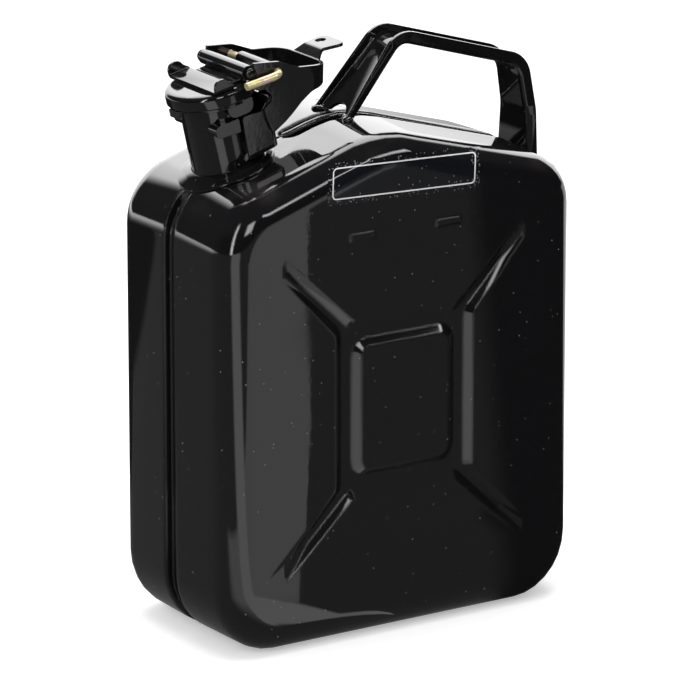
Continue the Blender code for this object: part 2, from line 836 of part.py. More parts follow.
def collar(material, frame):
    """A stepped ring that follows the shoulder and the corner round the neck's foot."""
    bore = NECK_RADIUS + GAP
    profile = (
        (COLLAR_RADIUS, GAP),
        (COLLAR_RADIUS, COLLAR_EDGE),
        (COLLAR_RADIUS - COLLAR_EDGE / 2, COLLAR_EDGE * 1.5),
        (COLLAR_STEP_RADIUS, COLLAR_EDGE * 1.7),
        (COLLAR_STEP_RADIUS - COLLAR_EDGE / 2, COLLAR_STEP),
        (bore, COLLAR_STEP + COLLAR_EDGE / 2),
        (bore, GAP),
        ((bore + COLLAR_RADIUS) / 2, GAP),
    )
    bm = bmesh.new()
    rings = []
    for k in range(ROUND_STEPS):
        angle = 2 * pi * k / ROUND_STEPS
        ring = []
        for radius, lift in profile:
            u = radius * cos(angle)
            y = radius * sin(angle)
            h = 0.0
            for _ in range(6):
                x = NECK_ORIGIN[0] + u * cos(NECK_TILT) - h * sin(NECK_TILT)
                top = shoulder_height(x, y) + lift
                h = (top - NECK_ORIGIN[1] - u * sin(NECK_TILT)) / cos(NECK_TILT)
            ring.append(bm.verts.new((u, y, h)))
        rings.append(ring)
    for one, two in zip(rings, [*rings[1:], rings[0]]):
        join(bm, one, two)
    return finish("neck_collar", bm, material, frame)


def neck_tube(material, frame):
    bead = MOUTH_BEAD
    inside = NECK_RADIUS - NECK_SHEET
    top = NECK_TOP - bead
    profile = [(inside, top - bead)]
    for k in range(7):
        angle = pi - (pi + pi / 3) * k / 6
        profile.append((NECK_RADIUS - NECK_SHEET + bead + bead * cos(angle), top + bead * sin(angle)))
    profile += [
        (NECK_RADIUS, top - bead * 2),
        (NECK_RADIUS, NECK_BOTTOM + bead),
        (NECK_RADIUS - NECK_SHEET / 3, NECK_BOTTOM),
        (inside, NECK_BOTTOM),
    ]
    return turned("neck_tube", profile, material, frame)


def mouth_flange(material, frame):
    bore = NECK_RADIUS + GAP
    top = FLANGE_H + FLANGE_SHEET
    ring = ((bore, top), (FLANGE_RADIUS, top), (FLANGE_RADIUS, FLANGE_H), (bore, FLANGE_H))
    obj = turned("mouth_flange", ring, material, frame)
    ear = rounded(
        (
            (EAR_FRONT_U, EAR_BOTTOM_H, EAR_CORNER),
            (EAR_REAR_U, EAR_BOTTOM_H, EAR_CORNER),
            (EAR_REAR_U, top - GAP, 0.0),
            (EAR_FRONT_U, top - GAP, 0.0),
        ),
        steps=4,
    )
    for word, side in (("near", -1), ("far", 1)):
        low, high = sorted((side * EAR_INSIDE, side * (EAR_INSIDE + EAR_SHEET)))
        boolean(obj, prism(word + "_ear_form", ear, "Y", low, high, None, frame), "UNION")
    front = -FLANGE_RADIUS + FLANGE_SHEET
    lug = (
        (FRONT_LUG_U, FLANGE_H - FRONT_LUG_DROP),
        (FRONT_LUG_U + FLANGE_SHEET, FLANGE_H - FRONT_LUG_DROP),
        (FRONT_LUG_U + FLANGE_SHEET, FLANGE_H + GAP),
        (front + FLANGE_SHEET, FLANGE_H + GAP),
        (front + FLANGE_SHEET, top - GAP),
        (FRONT_LUG_U, top - GAP),
    )
    boolean(obj, prism("front_lug_form", lug, "Y", -FRONT_LUG_HALF, FRONT_LUG_HALF, None, frame), "UNION")
    return obj


def neck_lug(name, side, material, frame, neck_bore):
    form = rounded(
        (
            (LUG_FRONT_U, LUG_LOW_H + LUG_SLOPE, LUG_CORNER),
            (LUG_REAR_U, LUG_LOW_H, LUG_TIGHT),
            (LUG_REAR_U, LUG_HIGH_H, LUG_TIGHT),
            (LUG_FRONT_U, LUG_HIGH_H, LUG_CORNER),
        ),
        steps=4,
    )
    low, high = sorted((side * NECK_RADIUS / 2, side * LUG_OUTSIDE))
    obj = prism(name, form, "Y", low, high, material, frame)
    boolean(obj, neck_bore)
    return obj


def bracket(material, frame):
    outside = EAR_INSIDE + EAR_SHEET
    front = BRACKET_OUTLINE[0][0] - EAR_SHEET
    plan = rounded(
        (
            (front, outside, 0.0),
            (BRACKET_REAR_U, outside, BRACKET_BEND),
            (BRACKET_REAR_U, -outside, BRACKET_BEND),
            (front, -outside, 0.0),
        ),
        steps=4,
        closed=False,
    )
    sheet = strip(plan, -EAR_SHEET)
    heights = [h for _, h, _ in BRACKET_OUTLINE]
    obj = prism("hinge_bracket", sheet, "Z", 0.0, max(heights) * 1.5, material, frame)
    form = rounded(BRACKET_OUTLINE)
    boolean(obj, prism("bracket_side_form", form, "Y", -outside * 2, outside * 2, None, frame), "INTERSECT")
    inside = KNUCKLE_HALF + GAP * 2
    hinge = (HINGE_U, HINGE_H)
    r = KNUCKLE_RADIUS
    arm = rounded(
        (
            (HINGE_EAR_ROOT_U, HINGE_EAR_LOW_H, 0.0),
            (HINGE_U + r, HINGE_H - r, r),
            (HINGE_U + r, HINGE_H + r, r),
            (HINGE_U - r, HINGE_H + r, r),
            (HINGE_EAR_ROOT_U, HINGE_EAR_HIGH_H, 0.0),
        ),
        steps=5,
    )
    for word, side in (("near", -1), ("far", 1)):
        low, high = sorted((side * inside, side * (inside + HINGE_EAR_SHEET)))
        boolean(obj, prism(word + "_hinge_arm_form", arm, "Y", low, high, None, frame), "UNION")
    hole = rod("bracket_hole_cutter", hinge, HINGE_PIN_RADIUS + GAP, -outside, outside, None, frame, 16)
    boolean(obj, hole)
    return obj


def hinge_pin(material, frame):
    end = KNUCKLE_HALF + GAP * 3 + HINGE_EAR_SHEET
    tip = end + HINGE_PIN_HEAD_THICK
    profile = (
        (0.0, tip),
        (HINGE_PIN_HEAD * 0.8, tip),
        (HINGE_PIN_HEAD, tip - HINGE_PIN_HEAD_THICK / 2),
        (HINGE_PIN_HEAD, end),
        (HINGE_PIN_RADIUS, end),
        (HINGE_PIN_RADIUS, -end),
        (HINGE_PIN_HEAD, -end),
        (HINGE_PIN_HEAD, -tip + HINGE_PIN_HEAD_THICK / 2),
        (HINGE_PIN_HEAD * 0.8, -tip),
        (0.0, -tip),
    )
    return turned("hinge_pin", profile, material, frame, 16, (HINGE_U, HINGE_H), "Y")


def breather(material, frame):
    def world(u, h):
        x = NECK_ORIGIN[0] + u * cos(NECK_TILT) - h * sin(NECK_TILT)
        return x, NECK_ORIGIN[1] + u * sin(NECK_TILT) + h * cos(NECK_TILT)

    seat = NECK_SHEET + GAP + BREATHER_RADIUS - NECK_RADIUS
    top = world(seat, BREATHER_TOP_H)
    low = world(seat, BREATHER_LOW_H)
    bend, end = BREATHER_POINTS
    line = (
        (*top, 0.0),
        (*low, BREATHER_BEND),
        (*bend, BREATHER_BEND),
        (*end, 0.0),
    )
    flat = rounded(line, steps=5, closed=False)
    path = [Vector((x, 0.0, z)) for x, z in flat]
    inside = BREATHER_RADIUS - BREATHER_SHEET
    return tube("breather_tube", path, BREATHER_RADIUS, inside, material, None)


# Cap


def cap_shell(material, axis):
    def wall(radius, top, edge):
        made = []
        for k in range(5):
            angle = pi / 2 * k / 4
            made.append((radius - edge * (1 - sin(angle)), top - edge * (1 - cos(angle))))
        return made

    inside = CAP_RADIUS - CAP_SHEET
    profile = [(0.0, CAP_TOP)]
    profile += wall(CAP_RADIUS, CAP_TOP, CAP_EDGE)
    profile += [(CAP_RADIUS, CAP_BOTTOM), (inside, CAP_BOTTOM)]
    profile += wall(inside, CAP_TOP - CAP_SHEET, CAP_EDGE - CAP_SHEET)[::-1]
    profile += [(0.0, CAP_TOP - CAP_SHEET)]
    return turned("cap_shell", profile, material, axis)


def gasket(material, axis):
    low = NECK_TOP + GAP
    high = CAP_TOP - CAP_SHEET - GAP
    profile = (
        (GASKET_INSIDE, high),
        (GASKET_OUTSIDE, high),
        (GASKET_OUTSIDE, low + GAP),
        (GASKET_OUTSIDE - GAP, low),
        (GASKET_INSIDE, low),
    )
    return turned("cap_gasket", profile, material, axis)


def retainer(material, axis):
    high = CAP_TOP - CAP_SHEET - GAP
    radius = GASKET_INSIDE - GAP
    low = high - RETAINER_LIP
    profile = ((0.0, high), (radius, high), (radius, low), (0.0, low))
    return turned("gasket_retainer", profile, material, axis, 32)


def hinge_leaf(material, axis):
    front = CAP_RADIUS + GAP
    r = KNUCKLE_RADIUS
    form = rounded(
        (
            (front, LEAF_TOP, 0.0),
            (front, LEAF_KNEE, LEAF_SHEET),
            (HINGE_U - r, HINGE_H - r, r),
            (HINGE_U + r, HINGE_H - r, r),
            (HINGE_U + r, HINGE_H + r, r),
            (front + LEAF_SHEET, HINGE_H + r, LEAF_SHEET / 2),
            (front + LEAF_SHEET, LEAF_TOP, 0.0),
        ),
        steps=5,
    )
    obj = prism("cap_hinge_leaf", form, "Y", -KNUCKLE_HALF, KNUCKLE_HALF, material, axis)
    hinge = (HINGE_U, HINGE_H)
    hole = HINGE_PIN_RADIUS + GAP
    boolean(obj, rod("knuckle_hole_cutter", hinge, hole, -CAP_RADIUS, CAP_RADIUS, None, axis, 16))
    return obj


def strap(material, axis):
    low = CAP_TOP + GAP
    section = rounded(
        (
            (-STRAP_HALF, STRAP_EAR_TOP, 0.0),
            (-STRAP_HALF, low, STRAP_BEND),
            (STRAP_HALF, low, STRAP_BEND),
            (STRAP_HALF, STRAP_EAR_TOP, 0.0),
        ),
        steps=4,
        closed=False,
    )
    sheet = strip(section, STRAP_SHEET)
    obj = prism("cap_strap", sheet, "X", STRAP_FRONT_U, STRAP_REAR_U, material, axis)
    ear = STRAP_EAR_TOP - GAP
    rise = low + STRAP_SHEET + GAP
    radius = (STRAP_EAR_REAR_U - STRAP_FRONT_U) / 2 - GAP
    form = rounded(
        (
            (STRAP_FRONT_U, low - GAP, 0.0),
            (STRAP_REAR_U, low - GAP, 0.0),
            (STRAP_REAR_U, rise, STRAP_BEND / 2),
            (STRAP_EAR_REAR_U, rise + STRAP_BEND, STRAP_BEND / 4),
            (STRAP_EAR_REAR_U, ear, radius),
            (STRAP_FRONT_U, ear, radius),
        ),
        steps=4,
    )
    half = STRAP_HALF * 2
    boolean(obj, prism("strap_side_form", form, "Y", -half, half, None, axis), "INTERSECT")
    return obj


def barrel(material, axis):
    low = CAP_TOP + GAP
    foot = (
        (BARREL_FOOT_U, low),
        (PIVOT_U, low + BARREL_FOOT_SHEET / 3),
        (PIVOT_U, low + BARREL_FOOT_SHEET),
        (BARREL_FOOT_U, low + BARREL_FOOT_SHEET),
    )
    obj = prism("pivot_barrel", foot, "Y", -BARREL_FOOT_HALF, BARREL_FOOT_HALF, material, axis)
    half = CHEEK_INSIDE - RUN
    pivot = (PIVOT_U, PIVOT_H)
    boolean(obj, rod("barrel_form", pivot, BARREL_RADIUS, -half, half, None, axis, 28), "UNION")
    hole = RIVET_RADIUS + GAP
    boolean(obj, rod("barrel_hole_cutter", pivot, hole, -half * 2, half * 2, None, axis, 16))
    return obj


# Lever


def lever(material, axis):
    outside = CHEEK_INSIDE + LEVER_SHEET
    heights = [h for _, h, _ in LEVER_OUTLINE]
    front = min(u for u, _, _ in LEVER_OUTLINE) - LEVER_SHEET
    plan = rounded(
        (
            (front, outside, 0.0),
            (LEVER_WEB_U, outside, LEVER_BEND),
            (LEVER_WEB_U, -outside, LEVER_BEND),
            (front, -outside, 0.0),
        ),
        steps=5,
        closed=False,
    )
    sheet = strip(plan, -LEVER_SHEET)
    low = min(heights) - LEVER_SHEET
    obj = prism("lever", sheet, "Z", low, max(heights) + LEVER_SHEET, material, axis)
    bottom = min(vert.co.z for vert in obj.data.vertices)
    for vert in obj.data.vertices:
        vert.co.x += (vert.co.z - bottom) * LEVER_WEB_LEAN
    form = rounded(LEVER_OUTLINE)
    boolean(obj, prism("lever_side_form", form, "Y", -outside * 2, outside * 2, None, axis), "INTERSECT")
    tab = strip(rounded(TAB_LINE, steps=4, closed=False), -LEVER_SHEET)
    root = TAB_PLAN[0][1]
    tab_form = prism("tab_form", tab, "Y", -root, root, None, axis)
    tab_top = TAB_LINE[2][1] + LEVER_SHEET * 2
    tab_low = TAB_LINE[3][1] - LEVER_SHEET * 3
    plan = rounded(TAB_PLAN + tuple((u, -y, r) for u, y, r in TAB_PLAN[::-1]), steps=4)
    base = TAB_LINE[0][1] - LEVER_SHEET
    boolean(tab_form, prism("tab_plan_form", plan, "Z", base, tab_top, None, axis), "INTERSECT")
    boolean(obj, tab_form, "UNION")
    hole = rod("tab_hole_cutter", TAB_HOLE, TAB_HOLE_RADIUS, tab_low, tab_top, None, axis, 24, "Z")
    boolean(obj, hole)
    wide = outside * 2
    pivot = (PIVOT_U, PIVOT_H)
    boolean(obj, rod("pivot_hole_cutter", pivot, RIVET_RADIUS + GAP, -wide, wide, None, axis, 16))
    sleeve = (SLEEVE_U, SLEEVE_H)
    boolean(obj, rod("pin_hole_cutter", sleeve, WIRE_RADIUS + GAP, -wide, wide, None, axis, 16))
    return obj


def rivet(material, axis):
    start = CHEEK_INSIDE + LEVER_SHEET + GAP
    tip = start + RIVET_HEAD_THICK
    profile = [(0.0, tip)]
    for k in range(1, 5):
        angle = pi / 2 * k / 4
        profile.append((RIVET_HEAD * sin(angle), start + RIVET_HEAD_THICK * cos(angle)))
    profile.append((RIVET_RADIUS, start))
    profile += [(r, -h) for r, h in profile[::-1]]
    return turned("pivot_rivet", profile, material, axis, 20, (PIVOT_U, PIVOT_H), "Y")


def sleeve(material, axis):
    near = -(CHEEK_INSIDE - GAP)
    profile = (
        (WIRE_RADIUS + GAP, SLEEVE_FAR_Y),
        (SLEEVE_RADIUS, SLEEVE_FAR_Y),
        (SLEEVE_RADIUS, near),
        (WIRE_RADIUS + GAP, near),
    )
    flipped = [(r, -h) for r, h in profile]
    return turned("pin_sleeve", flipped, material, axis, 24, (SLEEVE_U, SLEEVE_H), "Y")


def safety_pin(material, axis):
    start = Vector((SLEEVE_U, WIRE_FAR_Y, SLEEVE_H))
    corner = Vector((SLEEVE_U, WIRE_LEG_Y, SLEEVE_H))
    end = Vector((WIRE_END_U, WIRE_LEG_Y, WIRE_END_H))
    before = Vector((0.0, 1.0, 0.0))
    after = (end - corner).normalized()
    middle = corner + (before + after) * WIRE_BEND
    path = [start]
    for k in range(7):
        angle = pi / 2 * k / 6
        path.append(middle - after * WIRE_BEND * cos(angle) - before * WIRE_BEND * sin(angle))
    path.append(end)
    return tube("safety_pin", path, WIRE_RADIUS, 0.0, material, axis, 16)


def main():
    clear_scene()
    black = paint("black_paint", (0.012, 0.012, 0.014), 0.16, 0.0)
    steel = paint("zinc_steel", (0.45, 0.45, 0.44), 0.35, 1.0)
    yellow = paint("yellow_zinc", (0.72, 0.60, 0.28), 0.32, 1.0)
    rubber = paint("rubber", (0.02, 0.02, 0.02), 0.8, 0.0)
    frame = empty("neck_frame", (NECK_ORIGIN[0], 0.0, NECK_ORIGIN[1]), None, -NECK_TILT)
    cap_axis = empty("cap_axis", (HINGE_U, 0.0, HINGE_H), frame)
    lever_axis = empty("lever_axis", (PIVOT_U - HINGE_U, 0.0, PIVOT_H - HINGE_H), cap_axis)
    pin_axis = empty("pin_axis", (SLEEVE_U - PIVOT_U, 0.0, SLEEVE_H - PIVOT_H), lever_axis)

    bore_radius = NECK_RADIUS + GAP
    reach = CORNER_RADIUS / 2
    bore = rod("neck_bore_cutter", (0.0, 0.0), bore_radius, -reach, reach, None, frame, ROUND_STEPS, "Z")
    shell("front_shell", -1, black, bore)
    shell("back_shell", 1, black, bore)
    seam_weld(black)
    handle(black)
    neck_tube(black, frame)
    collar(black, frame)
    mouth_flange(black, frame)
    high = NECK_TOP
    neck_side = rod("neck_side_cutter", (0.0, 0.0), bore_radius, 0.0, high, None, frame, ROUND_STEPS, "Z")
    neck_lug("near_neck_lug", -1, black, frame, neck_side)
    neck_lug("far_neck_lug", 1, black, frame, neck_side)
    bracket(black, frame)
    hinge_pin(steel, frame)
    breather(steel, frame)

    cap_shell(black, cap_axis)
    gasket(rubber, cap_axis)
    retainer(steel, cap_axis)
    hinge_leaf(black, cap_axis)
    strap(black, cap_axis)
    barrel(black, cap_axis)

    lever(black, lever_axis)
    rivet(black, lever_axis)
    sleeve(black, lever_axis)
    safety_pin(yellow, pin_axis)
    bpy.context.view_layer.update()


main()
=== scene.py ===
"""Dresses a pressed steel jerry can: gloss paint with dust and fine orange peel, weld beads at the
handle's feet, a blank film on the shoulder of the face, zinc fittings and the studio."""

from math import cos, pi, radians, sin

import bmesh
import bpy
from bpy.props import FloatProperty, FloatVectorProperty, PointerProperty
from mathutils import Matrix, Vector
from mathutils.bvhtree import BVHTree


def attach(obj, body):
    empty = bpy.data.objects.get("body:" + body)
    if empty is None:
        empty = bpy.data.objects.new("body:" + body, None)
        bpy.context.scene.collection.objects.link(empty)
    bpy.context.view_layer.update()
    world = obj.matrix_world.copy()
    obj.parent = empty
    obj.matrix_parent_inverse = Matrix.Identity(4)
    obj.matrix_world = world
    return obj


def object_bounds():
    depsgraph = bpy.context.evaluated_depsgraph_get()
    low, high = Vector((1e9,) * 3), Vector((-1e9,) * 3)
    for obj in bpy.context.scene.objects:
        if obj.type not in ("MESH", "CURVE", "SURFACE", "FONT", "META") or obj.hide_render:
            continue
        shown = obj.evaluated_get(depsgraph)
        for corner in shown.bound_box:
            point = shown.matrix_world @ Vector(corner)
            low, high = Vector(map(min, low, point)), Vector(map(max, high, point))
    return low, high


bl_info = {
    "name": "Jerry Can Finish",
    "version": (1, 0, 0),
    "blender": (4, 5, 0),
    "location": "View3D > Sidebar > Jerry Can",
    "description": "Paint, welds, film and studio for a pressed steel jerry can",
    "category": "Object",
}

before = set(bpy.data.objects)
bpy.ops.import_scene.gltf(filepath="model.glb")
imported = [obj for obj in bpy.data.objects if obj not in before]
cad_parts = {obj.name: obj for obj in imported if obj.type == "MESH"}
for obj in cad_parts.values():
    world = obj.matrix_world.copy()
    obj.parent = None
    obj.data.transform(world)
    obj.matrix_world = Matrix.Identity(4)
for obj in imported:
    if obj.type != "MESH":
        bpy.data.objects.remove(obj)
CAD_LOW, CAD_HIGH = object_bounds()

PAINTED = (
    "front_shell back_shell seam_weld handle neck_tube neck_collar mouth_flange near_neck_lug "
    "far_neck_lug hinge_bracket cap_shell cap_hinge_leaf cap_strap pivot_barrel lever pivot_rivet "
    "pin_sleeve"
).split()
SHELLS = ("front_shell", "back_shell")
LARGE = (*SHELLS, "seam_weld")
PLATED = ("hinge_pin", "breather_tube", "gasket_retainer")
FITTINGS = "fitting_paint"

# Where the camera stands from the middle of the can, and the place that it aims at
VIEW_TURN, VIEW_RISE = radians(-32.754), radians(16.626)
TO_CAMERA = Vector(
    (sin(VIEW_TURN) * cos(VIEW_RISE), -cos(VIEW_TURN) * cos(VIEW_RISE), sin(VIEW_RISE))
)
CAMERA_AIM = Vector((0.0, 0.0, 0.14305))
SENSOR_WIDTH = 36.0
CAMERA_REACH = 50.0

# Name, place, size and power of each lamp
LAMPS = (
    ("lamp_left", (-1.4, -0.9, 1.2), 0.9, 9.0),
    ("lamp_top", (0.1, 0.2, 1.8), 1.4, 22.0),
)

# Shading of the nodes: points this close are one, edges over this angle stay sharp, and a face
# this large, or square to the can's front, stays flat up to its border
JOIN_DISTANCE = 0.00001
SHARP_ANGLE = radians(33.0)
FLAT_AREA, SMALL_FLAT_AREA = 0.0003, 0.00002
SQUARE_ON = 0.99999
BY_AREA = 100

# Weld beads at the handle's feet: their paths on the far side, and their shape in radii and rings
FOOT_WELDS = {
    "front_web": ((-0.0090, 0.0092, 0.2744), (-0.0092, 0.0128, 0.2744), (-0.0124, 0.0160, 0.2737)),
    "front_flange": ((-0.0122, 0.0169, 0.2733), (-0.0072, 0.0162, 0.2745)),
    "rear_web": ((0.1075, 0.0060, 0.2376), (0.1078, 0.0105, 0.2372)),
    "rear_flange": ((0.1110, 0.0160, 0.2270), (0.1098, 0.0158, 0.2315), (0.1080, 0.0154, 0.2350)),
}
BEAD_PITCH = 0.45
BEAD_RIPPLE, BEAD_RIPPLE_TURN = 0.12, 1.9
BEAD_END_RINGS, BEAD_END_SHARE = 3, 0.25
BEAD_SIDES = 10
BEAD_SHARP = radians(70.0)
BEAD_START = Vector((0.31, 0.52, 0.79))

# The film: cells of its sheet and of its printed line, and where the search for the shell starts
FILM_CELLS = (64, 20)
LINE_CELLS = (48, 12)
LONG_SIDE = 3
CORNER_STEPS = 6
FILM_SHARP = radians(40.0)
SEARCH_OUT = 0.02

# The lit floor, as the gloss sees it. Places are in metres from the middle of the can's foot. The
# strip, the dim and the dark floor are bounded by lines across the view that the front face mirrors
FLOOR_HALF = 6.0
FACE_OUT = 0.056
FACE_TURN = -VIEW_TURN
SIDE_TURN = radians(37.9)
AHEAD_EDGE, BEHIND_EDGE, REAR_EDGE = -0.05, 0.05, 0.03
STRIP_NEAR, STRIP_FAR = (-0.07, -0.14), (-0.32, -0.28)
SECTOR_START, SECTOR_END = (radians(20.0), radians(26.0)), (radians(56.0), radians(50.0))
SECTOR_LEVEL, BESIDE_LEVEL = 1.5, 0.12
DIM_FADE, DIM_LEVEL, DARK_LEVEL = 0.02, 0.15, 0.02
FAR_FLOOR, FAR_LEVEL = (0.9, 3.0), 3.2

# The studio round the can. Directions are parts of a unit vector, and turns are about Z from +Y
SKY_TOP, SKY_BACK = (0.35, 0.6), (0.1, 0.5)
SKY_LIGHT, SKY_BASE, SKY_IN_GLOSS = 0.75, 0.10, 0.08
BACKDROP_X, BACKDROP_Y, BACKDROP_Z = (-0.25, -0.05), (0.24, 0.36), (-0.05, 0.02)
BACKDROP_RISE, BACKDROP_LEVEL = 6.5, 2.4
TUBE_TURN, TUBE_HALF, TUBE_TOP, TUBE_LEVEL = -2.2, 0.06, (0.75, 0.6), 14.0

# Turn, half width, height, half height and level of each card of light
CARDS = ((-2.93, 0.14, 0.42, 0.14, 9.0), (2.6, 0.38, 0.56, 0.045, 12.0))

# Finishes. Each grain is in cells per metre, each range is where a ramp starts and ends, and each
# share is of 1. Speck and bubble radii are shares of a cell
DUST_GRAIN, DUST_PATCHY, DUST_BARE = 14.0, 0.30, 0.20
SPECK_RADIUS, SPECK_SPREAD, SPECK_SHARE = 0.02, 0.06, 0.85
VEIL_GRAIN, VEIL_RANGE, VEIL_UP, VEIL_SHARE = 45.0, (0.45, 0.85), (0.3, 0.95), 0.05
DUST_ROUGH = 0.6
PEEL_FINER, PEEL_FINE_SHARE = 3.1, 0.25
WEAR_GRAIN, WEAR_RANGE, WEAR_SHARE = 22.0, (0.45, 0.75), 0.6
SCRATCH_GRAIN, SCRATCH_TURN = (900.0, 900.0, 30.0), (0.3, 0.5, 0.2)
SCRATCH_RANGE, SCRATCH_SHARE = (0.72, 0.80), 0.5
PAINT_IOR = 1.52
ZINC_SPANGLE, ZINC_TONE_GRAIN, ZINC_BUMP_GRAIN = 600.0, 120.0, 900.0
ZINC_RANGE, ZINC_DARK, ZINC_ROUGH, ZINC_SPREAD = (0.3, 0.7), 0.75, 0.25, 0.25
BLOOM_GRAIN, BLOOM_RANGE = 95.0, (0.50, 0.66)
PALE_GRAIN, PALE_RANGE, PALE_SHARE = 260.0, (0.5, 0.75), 0.5
PLATE_METAL, PLATE_GRAIN, PLATE_BUMP_GRAIN = 0.6, 400.0, 700.0
PLATE_ROUGH, PLATE_SPREAD = 0.22, 0.25
RUBBER_GRAIN, RUBBER_TONE_GRAIN, RUBBER_RANGE = 1500.0, 60.0, (0.4, 0.7)
RUBBER_LIGHT, RUBBER_ROUGH, RUBBER_SPREAD = 2.0, 0.6, 0.2
BUBBLE_GRAIN, BUBBLE_RADIUS, BUBBLE_PATCHES = 700.0, 0.32, 60.0
BUBBLE_RIM, BUBBLE_MORE, BUBBLE_LEAST = (-0.0025, 0.0005), 0.85, 0.08
BUBBLE_SHARE, BUBBLE_ROUGH, BUBBLE_RISE = 0.30, 0.4, 0.8
FILM_ROUGH, FILM_GRAIN = 0.09, 180.0
PRINT_GRAIN, PRINT_RANGE, PRINT_SHARE, PRINT_WORN = 500.0, (0.62, 0.75), 0.5, 0.6
PRINT_ROUGH, PRINT_SPREAD, PRINT_BUMP_GRAIN = 0.25, 0.2, 400.0
FLECK_GRAIN, FLECK_RANGE, FLECK_TONE, FLOOR_ROUGH = 3.0, (0.2, 0.8), 0.985, 0.9

# Places of the nodes in the editor
FIRST_COLUMN, COLUMN_STEP, ROWS, ROW_STEP = -1800, 180, 4, 160

FLOAT = "NodeSocketFloat"
COLOUR = "NodeSocketColor"
GEOMETRY = "NodeSocketGeometry"


def length(name, description, default):
    return FloatProperty(name=name, description=description, default=default, unit="LENGTH")


def colour(name, description, default):
    return FloatVectorProperty(
        name=name, description=description, subtype="COLOR", size=3, default=default
    )


class JerryCanSizes(bpy.types.PropertyGroup):
    peel_size: length("Orange Peel", "Width of the paint's ripples", 0.0030)
    peel_depth: length("Peel Depth", "Height of the paint's ripples", 0.000008)
    speck_size: length("Dust Speck", "Distance between dust specks", 0.0042)
    film_middle: length("Film Middle", "Place of the film's middle, along X", -0.00125)
    film_half: length("Film Half Width", "Half the width of the film's line", 0.04475)
    film_low: length("Film Low Edge", "Height of the line's low edge", 0.24286)
    film_high: length("Film High Edge", "Height of the line's high edge", 0.26014)
    film_tilt: FloatProperty(
        name="Film Tilt",
        description="Turn of the film on the face",
        default=radians(-2.3),
        unit="ROTATION",
    )
    film_line: length("Film Line", "Width of the printed line", 0.0007)
    film_border: length("Film Border", "Clear film outside the line", 0.0028)
    film_corner: length("Film Line Corner", "Radius of the line's corners", 0.0026)
    film_lift: length("Film Lift", "Glue under the film", 0.00005)
    film_thick: length("Film Thickness", "Thickness of the film", 0.00012)
    bead_radius: length("Weld Bead", "Radius of the handle's weld beads", 0.0016)
    strip_edge: length("Strip Edge", "Where the lit strip of floor ends", -0.0566)
    corner_edge: length("Corner Edge", "Where the lit floor beside the can ends", -0.1096)
    dim_edge: length("Dim Edge", "Where the dim floor ends", 0.066)
    floor_glow: FloatProperty(name="Floor Glow", description="White of the floor", default=0.42)
    camera_distance: length("Camera Distance", "From the aim point", 3.215)
    camera_lens: FloatProperty(
        name="Camera Lens", description="Focal length in millimetres", default=310.3
    )


class JerryCanColours(bpy.types.PropertyGroup):
    paint: colour("Paint", "Gloss paint", (0.0065, 0.006, 0.0068))
    dust: colour("Dust", "Dust on the paint", (0.45, 0.40, 0.38))
    zinc: colour("Zinc", "Bright zinc plate", (0.50, 0.50, 0.48))
    yellow: colour("Yellow Zinc", "Yellow plate", (0.84, 0.74, 0.34))
    rose: colour("Plate Bloom", "Rosy bloom", (0.88, 0.66, 0.60))
    pale: colour("Pale Plate", "Pale patches of the yellow plate", (0.90, 0.86, 0.62))
    rubber: colour("Rubber", "Gasket", (0.02, 0.02, 0.021))
    film: colour("Film", "Paint seen through the film", (0.0070, 0.0075, 0.0100))
    line: colour("Film Print", "Line on the film", (0.8, 0.8, 0.8))
    floor: colour("Floor", "Floor and backdrop", (0.9, 0.9, 0.9))


def sizes():
    return bpy.context.scene.jerry_can_sizes


def colours():
    return bpy.context.scene.jerry_can_colours


# Shader building


